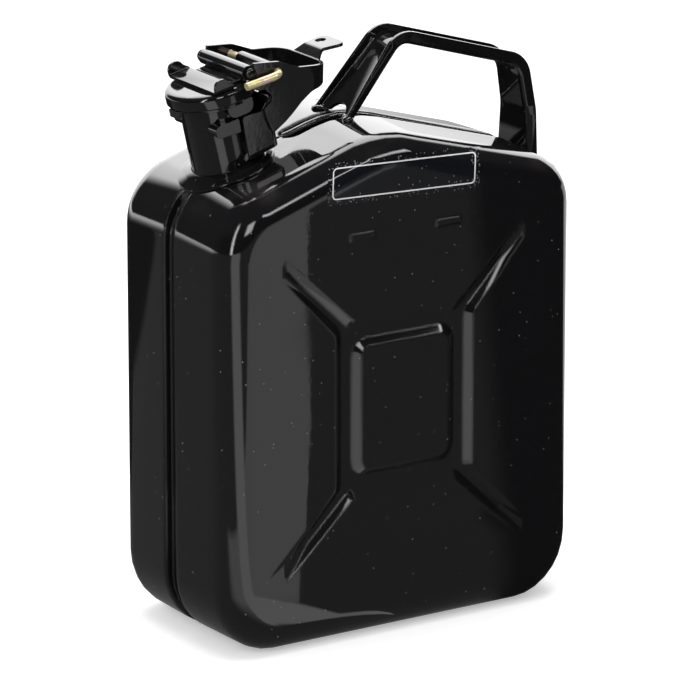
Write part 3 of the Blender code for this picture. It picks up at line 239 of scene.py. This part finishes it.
class Nodes:
    """Short ways to place and join nodes in one tree."""

    def __init__(self, tree):
        self.tree = tree
        self.column = 0

    def add(self, kind, **values):
        node = self.tree.nodes.new(kind)
        self.column += 1
        row = self.column % ROWS
        node.location = (FIRST_COLUMN + self.column * COLUMN_STEP, -row * ROW_STEP)
        for name, value in values.items():
            setattr(node, name, value)
        return node

    def link(self, source, target):
        self.tree.links.new(source, target)

    def feed(self, node, inputs):
        for name, value in inputs.items():
            socket = node.inputs[name]
            if isinstance(value, bpy.types.NodeSocket):
                self.link(value, socket)
            else:
                socket.default_value = value

    def math(self, operation, first, second=0.0, third=0.0, clamp=False):
        node = self.add("ShaderNodeMath", operation=operation, use_clamp=clamp)
        self.feed(node, {0: first, 1: second, 2: third})
        return node.outputs[0]

    def times(self, first, *others):
        for other in others:
            first = self.math("MULTIPLY", first, other)
        return first

    def most(self, first, *others):
        for other in others:
            first = self.math("MAXIMUM", first, other)
        return first

    def below(self, value, limit):
        return self.math("LESS_THAN", value, limit)

    def above(self, value, limit):
        return self.math("GREATER_THAN", value, limit)

    def off(self, value, middle):
        """How far the value is from the middle, on either side."""
        return self.math("ABSOLUTE", self.math("SUBTRACT", value, middle))

    def along(self, x, y, turn):
        """The place along a line through the origin, at this turn from the X axis."""
        return self.math("MULTIPLY_ADD", x, cos(turn), self.times(y, sin(turn)))

    def mix(self, share, first, second):
        """A mix of two colours. Those sockets share their names with others, so go by number."""
        node = self.add("ShaderNodeMix", data_type="RGBA")
        self.feed(node, {0: share, 6: first, 7: second})
        return node.outputs[2]

    def ramp(self, value, low, high):
        """From 0 at low to 1 at high, which may also be the smaller one."""
        node = self.add("ShaderNodeMapRange", interpolation_type="SMOOTHSTEP")
        self.feed(node, {"Value": value, "From Min": low, "From Max": high})
        return node.outputs[0]

    def parts(self, vector):
        """The X, Y and Z of a vector."""
        node = self.add("ShaderNodeSeparateXYZ")
        self.link(vector, node.inputs[0])
        return node.outputs

    def place(self):
        return self.add("ShaderNodeTexCoord").outputs["Object"]

    def noise(self, vector, scale, detail=3.0):
        node = self.add("ShaderNodeTexNoise")
        self.feed(node, {"Vector": vector, "Scale": scale, "Detail": detail})
        return node.outputs["Fac"]

    def cells(self, vector, scale):
        """The distance to the middle of each cell, and two chances that are its own."""
        node = self.add("ShaderNodeTexVoronoi")
        self.feed(node, {"Vector": vector, "Scale": scale})
        chance = self.add("ShaderNodeSeparateColor")
        self.link(node.outputs["Color"], chance.inputs[0])
        return node.outputs["Distance"], chance.outputs[0], chance.outputs[1]

    def use(self, group, **inputs):
        node = self.add("ShaderNodeGroup", node_tree=group)
        self.feed(node, inputs)
        return node.outputs


def new_group(name, inputs, outputs):
    tree = bpy.data.node_groups.new(name, "ShaderNodeTree")
    for word, kind in inputs:
        tree.interface.new_socket(word, in_out="INPUT", socket_type=kind)
    for word, kind in outputs:
        tree.interface.new_socket(word, in_out="OUTPUT", socket_type=kind)
    n = Nodes(tree)
    return tree, n, n.add("NodeGroupInput").outputs, n.add("NodeGroupOutput").inputs


def settled_dust():
    """Fine specks, and a thin film where the surface looks up."""
    if "Settled Dust" in bpy.data.node_groups:
        return bpy.data.node_groups["Settled Dust"]
    inputs = (("Base", COLOUR), ("Dust", COLOUR), ("Specks", FLOAT), ("Amount", FLOAT))
    tree, n, inp, out = new_group("Settled Dust", inputs, (("Color", COLOUR), ("Mask", FLOAT)))
    place = n.place()
    distance, chance, other_chance = n.cells(place, inp["Specks"])
    patchy = n.times(n.noise(place, DUST_GRAIN), DUST_PATCHY)
    amount = n.math("SUBTRACT", inp["Amount"], DUST_BARE)
    kept = n.below(chance, n.math("ADD", patchy, amount))
    radius = n.math("MULTIPLY_ADD", other_chance, SPECK_SPREAD, SPECK_RADIUS)
    speck = n.times(n.below(distance, radius), kept)
    normal = n.parts(n.add("ShaderNodeNewGeometry").outputs["Normal"])
    veil = n.ramp(n.noise(place, VEIL_GRAIN, 6.0), *VEIL_RANGE)
    veil = n.times(n.ramp(normal["Z"], *VEIL_UP), veil, VEIL_SHARE)
    mask = n.most(n.times(speck, SPECK_SHARE), veil)
    n.link(n.mix(mask, inp["Base"], inp["Dust"]), out["Color"])
    n.link(mask, out["Mask"])
    return tree


def orange_peel():
    """The slow ripple of sprayed paint, with a finer one on it."""
    if "Orange Peel" in bpy.data.node_groups:
        return bpy.data.node_groups["Orange Peel"]
    tree, n, inp, out = new_group("Orange Peel", (("Scale", FLOAT),), (("Height", FLOAT),))
    place = n.place()
    wide = n.noise(place, inp["Scale"], 1.0)
    fine = n.noise(place, n.times(inp["Scale"], PEEL_FINER), 0.0)
    n.link(n.math("MULTIPLY_ADD", fine, PEEL_FINE_SHARE, wide), out["Height"])
    return tree


def handling_wear():
    """Soft patches where the gloss is rubbed, and a few fine scratches."""
    if "Handling Wear" in bpy.data.node_groups:
        return bpy.data.node_groups["Handling Wear"]
    inputs = (("Low", FLOAT), ("High", FLOAT))
    tree, n, inp, out = new_group("Handling Wear", inputs, (("Roughness", FLOAT),))
    place = n.place()
    patch = n.ramp(n.noise(place, WEAR_GRAIN, 5.0), *WEAR_RANGE)
    stretch = n.add("ShaderNodeMapping")
    n.feed(stretch, {"Vector": place, "Rotation": SCRATCH_TURN, "Scale": SCRATCH_GRAIN})
    scratch = n.ramp(n.noise(stretch.outputs[0], 1.0, 2.0), *SCRATCH_RANGE)
    worn = n.most(n.times(patch, WEAR_SHARE), n.times(scratch, SCRATCH_SHARE))
    span = n.math("SUBTRACT", inp["High"], inp["Low"])
    n.link(n.math("MULTIPLY_ADD", worn, span, inp["Low"]), out["Roughness"])
    return tree


def start_material(name):
    made = bpy.data.materials.new(name)
    made.use_nodes = True
    made.node_tree.nodes.clear()
    n = Nodes(made.node_tree)
    shader = n.add("ShaderNodeBsdfPrincipled")
    output = n.add("ShaderNodeOutputMaterial")
    n.link(shader.outputs[0], output.inputs["Surface"])
    return made, n, shader


def bump(n, shader, height, distance, edge=0.0):
    """Gives the shader a bumpy normal, with the edges rounded by this radius."""
    node = n.add("ShaderNodeBump")
    if edge:
        soft = n.add("ShaderNodeBevel", samples=6)
        soft.inputs["Radius"].default_value = edge
        n.link(soft.outputs[0], node.inputs["Normal"])
    n.feed(node, {"Height": height, "Strength": 1.0, "Distance": distance})
    n.link(node.outputs[0], shader.inputs["Normal"])


def rgba(tint, share=1.0):
    return (*(part * share for part in tint), 1.0)


def gloss_paint(name="gloss_paint", dust=0.55, peel=0.4, low=0.015, high=0.10, edge=0.0020):
    if name in bpy.data.materials:
        return bpy.data.materials[name]
    s, c = sizes(), colours()
    made, n, shader = start_material(name)
    group = settled_dust()
    specks = 1 / s.speck_size
    dusty = n.use(group, Base=rgba(c.paint), Dust=rgba(c.dust), Specks=specks, Amount=dust)
    rough = n.use(handling_wear(), Low=low, High=high)["Roughness"]
    rough = n.math("MULTIPLY_ADD", dusty["Mask"], DUST_ROUGH, rough)
    n.feed(shader, {"Base Color": dusty["Color"], "Roughness": rough, "IOR": PAINT_IOR})
    ripple = n.use(orange_peel(), Scale=1 / s.peel_size)["Height"]
    bump(n, shader, ripple, s.peel_depth * peel, edge)
    return made


def bright_zinc():
    s, c = sizes(), colours()
    made, n, shader = start_material("bright_zinc")
    place = n.place()
    spangle = n.cells(place, ZINC_SPANGLE)[0]
    tone = n.ramp(n.noise(place, ZINC_TONE_GRAIN, 4.0), *ZINC_RANGE)
    base = n.mix(tone, rgba(c.zinc, ZINC_DARK), rgba(c.zinc))
    rough = n.math("MULTIPLY_ADD", spangle, ZINC_SPREAD, ZINC_ROUGH)
    n.feed(shader, {"Base Color": base, "Metallic": 1.0, "Roughness": rough})
    bump(n, shader, n.noise(place, ZINC_BUMP_GRAIN), s.peel_depth * 2)
    return made


def yellow_plate():
    s, c = sizes(), colours()
    made, n, shader = start_material("yellow_zinc")
    place = n.place()
    bloom = n.ramp(n.noise(place, BLOOM_GRAIN, 2.0), *BLOOM_RANGE)
    base = n.mix(bloom, rgba(c.yellow), rgba(c.rose))
    pale = n.ramp(n.noise(place, PALE_GRAIN, 4.0), *PALE_RANGE)
    base = n.mix(n.times(pale, PALE_SHARE), base, rgba(c.pale))
    rough = n.math("MULTIPLY_ADD", n.noise(place, PLATE_GRAIN), PLATE_SPREAD, PLATE_ROUGH)
    n.feed(shader, {"Base Color": base, "Metallic": PLATE_METAL, "Roughness": rough})
    bump(n, shader, n.noise(place, PLATE_BUMP_GRAIN, 4.0), s.peel_depth * 4)
    return made


def gasket_rubber():
    s, c = sizes(), colours()
    made, n, shader = start_material("gasket_rubber")
    place = n.place()
    grain = n.noise(place, RUBBER_GRAIN)
    tone = n.ramp(n.noise(place, RUBBER_TONE_GRAIN), *RUBBER_RANGE)
    base = n.mix(tone, rgba(c.rubber), rgba(c.rubber, RUBBER_LIGHT))
    rough = n.math("MULTIPLY_ADD", grain, RUBBER_SPREAD, RUBBER_ROUGH)
    n.feed(shader, {"Base Color": base, "Roughness": rough})
    bump(n, shader, grain, s.peel_depth * 5)
    return made


def clear_film():
    """Thin gloss film over the paint, with small bubbles and grit under it near its border."""
    s, c = sizes(), colours()
    made, n, shader = start_material("clear_film")
    place = n.place()
    distance, chance, _ = n.cells(place, BUBBLE_GRAIN)
    spot = n.parts(place)
    out_x = n.math("SUBTRACT", n.off(spot["X"], s.film_middle), s.film_half)
    middle, half = (s.film_low + s.film_high) / 2, (s.film_high - s.film_low) / 2
    out_z = n.math("SUBTRACT", n.off(spot["Z"], middle), half)
    rim = n.ramp(n.most(out_x, out_z), *BUBBLE_RIM)
    share = n.math("MULTIPLY_ADD", rim, BUBBLE_MORE, BUBBLE_LEAST)
    few = n.below(chance, n.times(n.noise(place, BUBBLE_PATCHES), share))
    dot = n.times(n.below(distance, BUBBLE_RADIUS), few)
    base = n.mix(n.times(dot, BUBBLE_SHARE), rgba(c.film), rgba(c.dust))
    rough = n.math("MULTIPLY_ADD", dot, BUBBLE_ROUGH, FILM_ROUGH)
    n.feed(shader, {"Base Color": base, "Roughness": rough})
    height = n.math("MULTIPLY_ADD", dot, BUBBLE_RISE, n.noise(place, FILM_GRAIN))
    bump(n, shader, height, s.peel_depth * 3)
    return made


def film_print():
    s, c = sizes(), colours()
    made, n, shader = start_material("film_print")
    place = n.place()
    worn = n.ramp(n.noise(place, PRINT_GRAIN, 5.0), *PRINT_RANGE)
    base = n.mix(n.times(worn, PRINT_SHARE), rgba(c.line), rgba(c.line, PRINT_WORN))
    rough = n.math("MULTIPLY_ADD", worn, PRINT_SPREAD, PRINT_ROUGH)
    n.feed(shader, {"Base Color": base, "Roughness": rough})
    bump(n, shader, n.noise(place, PRINT_BUMP_GRAIN), s.peel_depth)
    return made


# Shading of the nodes


def new_modifier_group(name, word, default):
    """A geometry group for a modifier, with one number that can be set."""
    tree = bpy.data.node_groups.new(name, "GeometryNodeTree")
    tree.is_modifier = True
    tree.interface.new_socket("Geometry", in_out="INPUT", socket_type=GEOMETRY)
    number = tree.interface.new_socket(word, in_out="INPUT", socket_type=FLOAT)
    number.default_value = default
    tree.interface.new_socket("Geometry", in_out="OUTPUT", socket_type=GEOMETRY)
    n = Nodes(tree)
    return tree, n, n.add("NodeGroupInput").outputs


def rounded_shading():
    """Joins the points of the mesh and shades it smooth, but for its sharp edges."""
    if "Rounded Shading" in bpy.data.node_groups:
        return bpy.data.node_groups["Rounded Shading"]
    tree, n, inp = new_modifier_group("Rounded Shading", "Sharp Angle", SHARP_ANGLE)
    merge = n.add("GeometryNodeMergeByDistance")
    n.feed(merge, {"Geometry": inp["Geometry"], "Distance": JOIN_DISTANCE})
    faces = n.add("GeometryNodeSetShadeSmooth", domain="FACE")
    n.feed(faces, {"Geometry": merge.outputs[0], "Shade Smooth": True})
    angle = n.add("GeometryNodeInputMeshEdgeAngle").outputs[0]
    sharp = n.add("FunctionNodeCompare", operation="GREATER_THAN")
    n.feed(sharp, {"A": angle, "B": inp["Sharp Angle"]})
    edges = n.add("GeometryNodeSetShadeSmooth", domain="EDGE")
    n.feed(edges, {"Geometry": faces.outputs[0], "Selection": sharp.outputs[0]})
    n.feed(edges, {"Shade Smooth": False})
    n.link(edges.outputs[0], n.add("NodeGroupOutput").inputs[0])
    return tree


def flat_faces():
    """Keeps a large flat face flat up to its border, where a rounding starts."""
    if "Flat Faces" in bpy.data.node_groups:
        return bpy.data.node_groups["Flat Faces"]
    tree, n, inp = new_modifier_group("Flat Faces", "Large Area", FLAT_AREA)
    normal = n.add("GeometryNodeInputNormal", legacy_corner_normals=False).outputs
    own = normal["True Normal"]
    front = n.above(n.math("ABSOLUTE", n.parts(own)["Y"]), SQUARE_ON)
    area = n.add("GeometryNodeInputMeshFaceArea").outputs[0]
    large = n.most(front, n.above(area, inp["Large Area"]))
    wanted = n.add("ShaderNodeVectorMath", operation="SCALE")
    n.feed(wanted, {"Vector": own, "Scale": large})
    spread = wanted.outputs[0]
    for domain in ("FACE", "POINT"):
        field = n.add("GeometryNodeFieldOnDomain", domain=domain, data_type="FLOAT_VECTOR")
        n.link(spread, field.inputs[0])
        spread = field.outputs[0]
    unit = n.add("ShaderNodeVectorMath", operation="NORMALIZE")
    n.link(spread, unit.inputs[0])
    agreed = n.add("ShaderNodeVectorMath", operation="DOT_PRODUCT")
    n.feed(agreed, {0: own, 1: unit.outputs[0]})
    close = n.above(agreed.outputs["Value"], cos(SHARP_ANGLE))
    choice = n.add("GeometryNodeSwitch", input_type="VECTOR")
    n.feed(choice, {"Switch": close, "False": normal["Normal"], "True": unit.outputs[0]})
    new = n.add("GeometryNodeSetMeshNormal", mode="FREE", domain="CORNER")
    n.feed(new, {"Mesh": inp["Geometry"], "Custom Normal": choice.outputs[0]})
    n.link(new.outputs[0], n.add("NodeGroupOutput").inputs[0])
    return tree


def smooth_node(name, material):
    """Gives a node its finish, and smooth shading across its shallow angles."""
    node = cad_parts[name]
    node.data.materials.clear()
    node.data.materials.append(material)
    node.modifiers.new("Rounded Shading", "NODES").node_group = rounded_shading()
    weighted = node.modifiers.new("Weighted Normal", "WEIGHTED_NORMAL")
    weighted.keep_sharp = True
    weighted.weight = BY_AREA
    flat = node.modifiers.new("Flat Faces", "NODES")
    flat.node_group = flat_faces()
    if name not in SHELLS:
        area = flat.node_group.interface.items_tree["Large Area"]
        flat[area.identifier] = SMALL_FLAT_AREA


# Mesh building


def link(name, bm, material, body, sharp):
    bmesh.ops.recalc_face_normals(bm, faces=bm.faces)
    mesh = bpy.data.meshes.new(name)
    bm.to_mesh(mesh)
    bm.free()
    mesh.shade_smooth()
    mesh.set_sharp_from_angle(angle=sharp)
    mesh.materials.append(material)
    made = bpy.data.objects.new(name, mesh)
    bpy.context.scene.collection.objects.link(made)
    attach(made, body)
    return made


def join_rows(bm, one, two, closed):
    for i in range(len(one) - (0 if closed else 1)):
        j = (i + 1) % len(one)
        bm.faces.new((one[i], one[j], two[j], two[i]))


def even_steps(half, count):
    """The ends of equal cells, from one side of the middle to the other."""
    return [half - half * 2 * k / count for k in range(count + 1)]


def round_box(half_x, half_z, radius):
    """The outline of a rectangle with round corners, as (x, z) points about its middle."""
    made = []
    for turn, (a, b) in enumerate(((1, 1), (-1, 1), (-1, -1), (1, -1))):
        for k in range(CORNER_STEPS + 1):
            angle = pi / 2 * (turn + k / CORNER_STEPS)
            x = a * (half_x - radius) + radius * cos(angle)
            made.append((x, b * (half_z - radius) + radius * sin(angle)))
    return made


def refine(points, step):
    """Splits the long sides of a closed outline, with the same count for a smaller one."""
    made = []
    for i, (x, z) in enumerate(points):
        to_x, to_z = points[(i + 1) % len(points)]
        wide = abs(to_x - x) > step * LONG_SIDE
        tall = abs(to_z - z) > step * LONG_SIDE
        count = LINE_CELLS[0] if wide else LINE_CELLS[1] if tall else 1
        shares = [k / count for k in range(count)]
        made += [(x + (to_x - x) * share, z + (to_z - z) * share) for share in shares]
    return made


class Shell:
    """Finds the point of a node's surface that hides a place of its flat face from the camera."""

    def __init__(self, name):
        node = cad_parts[name]
        self.world = node.matrix_world.copy()
        self.back = self.world.inverted()
        self.tree = BVHTree.FromObject(node, bpy.context.evaluated_depsgraph_get())

    def at(self, x, z, rise):
        start = self.back @ (Vector((x, CAD_LOW.y, z)) + TO_CAMERA * SEARCH_OUT)
        point, normal, _, _ = self.tree.ray_cast(start, self.back.to_3x3() @ -TO_CAMERA)
        if point is None:
            raise RuntimeError("the film misses the shell")
        normal = (self.world.to_3x3() @ normal).normalized()
        return self.world @ point + normal * rise


def lay(bm, shell, rows, lift, closed):
    """Lays a grid of face places on the shell, and the same a film's thickness above it."""
    s = sizes()
    turn = Matrix.Rotation(-s.film_tilt, 3, "Y")
    middle = Vector((s.film_middle, 0.0, (s.film_low + s.film_high) / 2))
    layers = []
    for rise in (lift, lift + s.film_thick):
        laid = []
        for row in rows:
            spots = [middle + turn @ Vector((x, 0.0, z)) for x, z in row]
            laid.append([bm.verts.new(shell.at(spot.x, spot.z, rise)) for spot in spots])
        layers.append(laid)
    low, high = layers
    for laid in layers:
        for one, two in zip(laid, laid[1:]):
            join_rows(bm, one, two, closed)
    for end in (0, -1):
        join_rows(bm, low[end], high[end], closed)
        if not closed:
            join_rows(bm, [row[end] for row in low], [row[end] for row in high], False)


def bead(name, points, radius, material, body):
    """A hand-laid weld bead along points in space, thick and thin by turns, with round ends."""
    path = []
    for a, b in zip(points, points[1:]):
        count = max(2, int((b - a).length / (radius * BEAD_PITCH)))
        path += [a.lerp(b, k / count) for k in range(count)]
    path.append(points[-1])
    bm = bmesh.new()
    rings = []
    last = len(path) - 1
    turns = [2 * pi * k / BEAD_SIDES for k in range(BEAD_SIDES)]
    side = BEAD_START.normalized()
    for i, point in enumerate(path):
        way = (path[min(i + 1, last)] - path[max(i - 1, 0)]).normalized()
        side = (side - way * side.dot(way)).normalized()
        other = way.cross(side)
        close = min(1.0, min(i, last - i) / BEAD_END_RINGS)
        round_off = max(BEAD_END_SHARE, (1 - (1 - close) ** 2) ** 0.5)
        thick = radius * round_off * (1 + BEAD_RIPPLE * sin(i * BEAD_RIPPLE_TURN))
        spots = [point + (side * cos(turn) + other * sin(turn)) * thick for turn in turns]
        rings.append([bm.verts.new(spot) for spot in spots])
    for one, two in zip(rings, rings[1:]):
        join_rows(bm, one, two, True)
    bm.faces.new(rings[0])
    bm.faces.new(rings[-1])
    return link(name, bm, material, body, BEAD_SHARP)


# The studio


def lit_floor(n, x, y):
    """The floor in the gloss: lit on the left in front and behind, and dim or dark elsewhere."""
    s = sizes()
    across = n.along(x, n.math("ADD", y, FACE_OUT), FACE_TURN)
    ahead = n.below(y, AHEAD_EDGE)
    strip = n.times(n.below(across, s.strip_edge), n.ramp(across, *STRIP_FAR))
    strip = n.times(strip, n.ramp(y, *STRIP_NEAR))
    turned = n.math("ARCTAN2", n.times(x, -1.0), n.math("SUBTRACT", -FACE_OUT, y))
    sector = n.times(n.ramp(turned, *SECTOR_START), n.ramp(turned, *SECTOR_END), SECTOR_LEVEL)
    lit = n.times(n.most(strip, sector), ahead)
    beside = n.below(n.along(x, y, SIDE_TURN), s.corner_edge)
    beside = n.times(n.math("SUBTRACT", beside, ahead, clamp=True), BESIDE_LEVEL)
    rear = n.times(n.above(n.math("SUBTRACT", x, y), REAR_EDGE), n.above(y, BEHIND_EDGE))
    dim = n.ramp(across, s.dim_edge, s.dim_edge - DIM_FADE)
    dim = n.math("MULTIPLY_ADD", dim, DIM_LEVEL, DARK_LEVEL)
    far = n.times(n.ramp(y, *FAR_FLOOR), FAR_LEVEL)
    return n.most(lit, beside, rear, dim, far)


def studio_floor():
    s, c = sizes(), colours()
    made, n, shader = start_material("studio_floor")
    ray = n.add("ShaderNodeLightPath").outputs
    place = n.place()
    spot = n.parts(place)
    fleck = n.ramp(n.noise(place, FLECK_GRAIN), *FLECK_RANGE)
    base = n.mix(fleck, rgba(c.floor), rgba(c.floor, FLECK_TONE))
    base = n.mix(ray["Is Glossy Ray"], base, rgba((0.0, 0.0, 0.0)))
    glow = n.times(ray["Is Camera Ray"], s.floor_glow)
    seen = lit_floor(n, spot["X"], spot["Y"])
    values = {
        "Base Color": base,
        "Roughness": FLOOR_ROUGH,
        "Specular IOR Level": 0.0,
        "Emission Color": rgba((1.0, 1.0, 1.0)),
        "Emission Strength": n.math("MULTIPLY_ADD", ray["Is Glossy Ray"], seen, glow),
    }
    n.feed(shader, values)
    bm = bmesh.new()
    bmesh.ops.create_grid(bm, x_segments=1, y_segments=1, size=FLOOR_HALF)
    mesh = bpy.data.meshes.new("studio_floor")
    bm.to_mesh(mesh)
    bm.free()
    mesh.materials.append(made)
    return bpy.data.objects.new("studio_floor", mesh)


def studio_world():
    """Soft light from above and behind. The gloss sees a low lit backdrop and a few lights."""
    world = bpy.data.worlds.new("studio")
    world.use_nodes = True
    world.node_tree.nodes.clear()
    w = Nodes(world.node_tree)
    ray = w.add("ShaderNodeLightPath").outputs
    way = w.parts(w.add("ShaderNodeTexCoord").outputs["Generated"])
    x, y, z = way["X"], way["Y"], way["Z"]
    sky = w.most(w.ramp(z, *SKY_TOP), w.ramp(y, *SKY_BACK))
    sky = w.math("MULTIPLY_ADD", sky, SKY_LIGHT, SKY_BASE)
    sky = w.times(sky, w.math("MULTIPLY_ADD", ray["Is Glossy Ray"], SKY_IN_GLOSS - 1, 1.0))
    backdrop = w.times(w.ramp(z, *BACKDROP_Z), w.ramp(y, *BACKDROP_Y), w.ramp(x, *BACKDROP_X))
    lit = w.times(backdrop, w.math("MULTIPLY_ADD", z, BACKDROP_RISE, BACKDROP_LEVEL))
    turned = w.math("ARCTAN2", x, y)
    tube = w.times(w.below(w.off(turned, TUBE_TURN), TUBE_HALF), w.ramp(z, *TUBE_TOP))
    lit = w.math("MULTIPLY_ADD", tube, TUBE_LEVEL, lit)
    for turn, half_width, height, half_height, strength in CARDS:
        within = w.below(w.off(turned, turn), half_width)
        card = w.times(within, w.below(w.off(z, height), half_height))
        lit = w.math("MULTIPLY_ADD", card, strength, lit)
    level = w.math("MULTIPLY_ADD", lit, ray["Is Glossy Ray"], sky)
    shade = w.add("ShaderNodeBackground")
    w.link(w.most(level, ray["Is Camera Ray"]), shade.inputs["Strength"])
    w.link(shade.outputs[0], w.add("ShaderNodeOutputWorld").inputs["Surface"])
    return world


class JERRYCAN_OT_stage(bpy.types.Operator):
    """Floor, backdrop, lamps and the camera"""

    bl_idname = "jerrycan.stage"
    bl_label = "Stage and Camera"

    def execute(self, context):
        s = sizes()
        scene = context.scene
        floor = studio_floor()
        scene.collection.objects.link(floor)
        scene.world = studio_world()

        for name, at, size, power in LAMPS:
            lamp = bpy.data.lights.new(name, "AREA")
            lamp.size = size
            lamp.energy = power
            holder = bpy.data.objects.new(name, lamp)
            holder.location = at
            aim = Vector((0.0, 0.0, CAD_HIGH.z / 2)) - holder.location
            holder.rotation_euler = aim.to_track_quat("-Z", "Y").to_euler()
            holder.visible_glossy = False
            scene.collection.objects.link(holder)

        camera = bpy.data.cameras.new("camera")
        camera.lens = s.camera_lens
        camera.sensor_width = SENSOR_WIDTH
        camera.clip_end = CAMERA_REACH
        holder = bpy.data.objects.new("camera", camera)
        holder.location = CAMERA_AIM + TO_CAMERA * s.camera_distance
        holder.rotation_euler = (-TO_CAMERA).to_track_quat("-Z", "Y").to_euler()
        scene.collection.objects.link(holder)
        scene.camera = holder
        scene.view_settings.view_transform = "Standard"
        return {"FINISHED"}


class JERRYCAN_OT_paint(bpy.types.Operator):
    """Gloss paint on the shells, the handle and the closure"""

    bl_idname = "jerrycan.paint"
    bl_label = "Gloss Paint"

    def execute(self, context):
        body = gloss_paint()
        small = gloss_paint(FITTINGS, dust=0.22, peel=1.4, low=0.03, high=0.14, edge=0.0004)
        for name in PAINTED:
            smooth_node(name, body if name in LARGE else small)
        return {"FINISHED"}


class JERRYCAN_OT_plate(bpy.types.Operator):
    """Bright zinc, yellow zinc and rubber on the unpainted pieces"""

    bl_idname = "jerrycan.plate"
    bl_label = "Plated Pieces and Gasket"

    def execute(self, context):
        zinc = bright_zinc()
        for name in PLATED:
            smooth_node(name, zinc)
        smooth_node("safety_pin", yellow_plate())
        smooth_node("cap_gasket", gasket_rubber())
        return {"FINISHED"}


class JERRYCAN_OT_film(bpy.types.Operator):
    """A blank film with a printed line round it, high on the front face"""

    bl_idname = "jerrycan.film"
    bl_label = "Blank Film"

    def execute(self, context):
        s = sizes()
        half_x, half_z = s.film_half, (s.film_high - s.film_low) / 2
        shell = Shell("front_shell")
        across = even_steps(half_x + s.film_border, FILM_CELLS[0])
        along = even_steps(half_z + s.film_border, FILM_CELLS[1])
        bm = bmesh.new()
        lay(bm, shell, [[(x, z) for x in across] for z in along], s.film_lift, False)
        link("blank_film", bm, clear_film(), "can", FILM_SHARP)

        bm = bmesh.new()
        rims = []
        for inset in (0.0, s.film_line):
            corners = round_box(half_x - inset, half_z - inset, s.film_corner - inset)
            rims.append(refine(corners, s.film_corner))
        lay(bm, shell, rims, s.film_lift + s.film_thick, True)
        link("film_line", bm, film_print(), "can", FILM_SHARP)
        return {"FINISHED"}


class JERRYCAN_OT_welds(bpy.types.Operator):
    """Weld beads at the handle's feet"""

    bl_idname = "jerrycan.welds"
    bl_label = "Weld Beads"

    def execute(self, context):
        s = sizes()
        paint = gloss_paint(FITTINGS)
        for side, word in ((-1, "near"), (1, "far")):
            for place, path in FOOT_WELDS.items():
                points = [Vector((x, side * y, z)) for x, y, z in path]
                bead(f"{word}_{place}_weld", points, s.bead_radius, paint, "can")
        return {"FINISHED"}


class JERRYCAN_PT_panel(bpy.types.Panel):
    """Lists the can's finishing steps, sizes and colours"""

    bl_label = "Jerry Can"
    bl_space_type = "VIEW_3D"
    bl_region_type = "UI"
    bl_category = "Jerry Can"

    def draw(self, context):
        for step in STEPS:
            self.layout.operator(step.bl_idname)
        for group in (sizes(), colours()):
            for name in group.__annotations__:
                self.layout.prop(group, name)


STEPS = (
    JERRYCAN_OT_paint,
    JERRYCAN_OT_plate,
    JERRYCAN_OT_film,
    JERRYCAN_OT_welds,
    JERRYCAN_OT_stage,
)
CLASSES = (JerryCanSizes, JerryCanColours, *STEPS, JERRYCAN_PT_panel)


def register():
    for item in CLASSES:
        bpy.utils.register_class(item)
    bpy.types.Scene.jerry_can_sizes = PointerProperty(type=JerryCanSizes)
    bpy.types.Scene.jerry_can_colours = PointerProperty(type=JerryCanColours)


def unregister():
    del bpy.types.Scene.jerry_can_colours
    del bpy.types.Scene.jerry_can_sizes
    for item in reversed(CLASSES):
        bpy.utils.unregister_class(item)


def main():
    register()
    for step in STEPS:
        group, name = step.bl_idname.split(".")
        getattr(getattr(bpy.ops, group), name)()


if __name__ == "__main__":
    main()
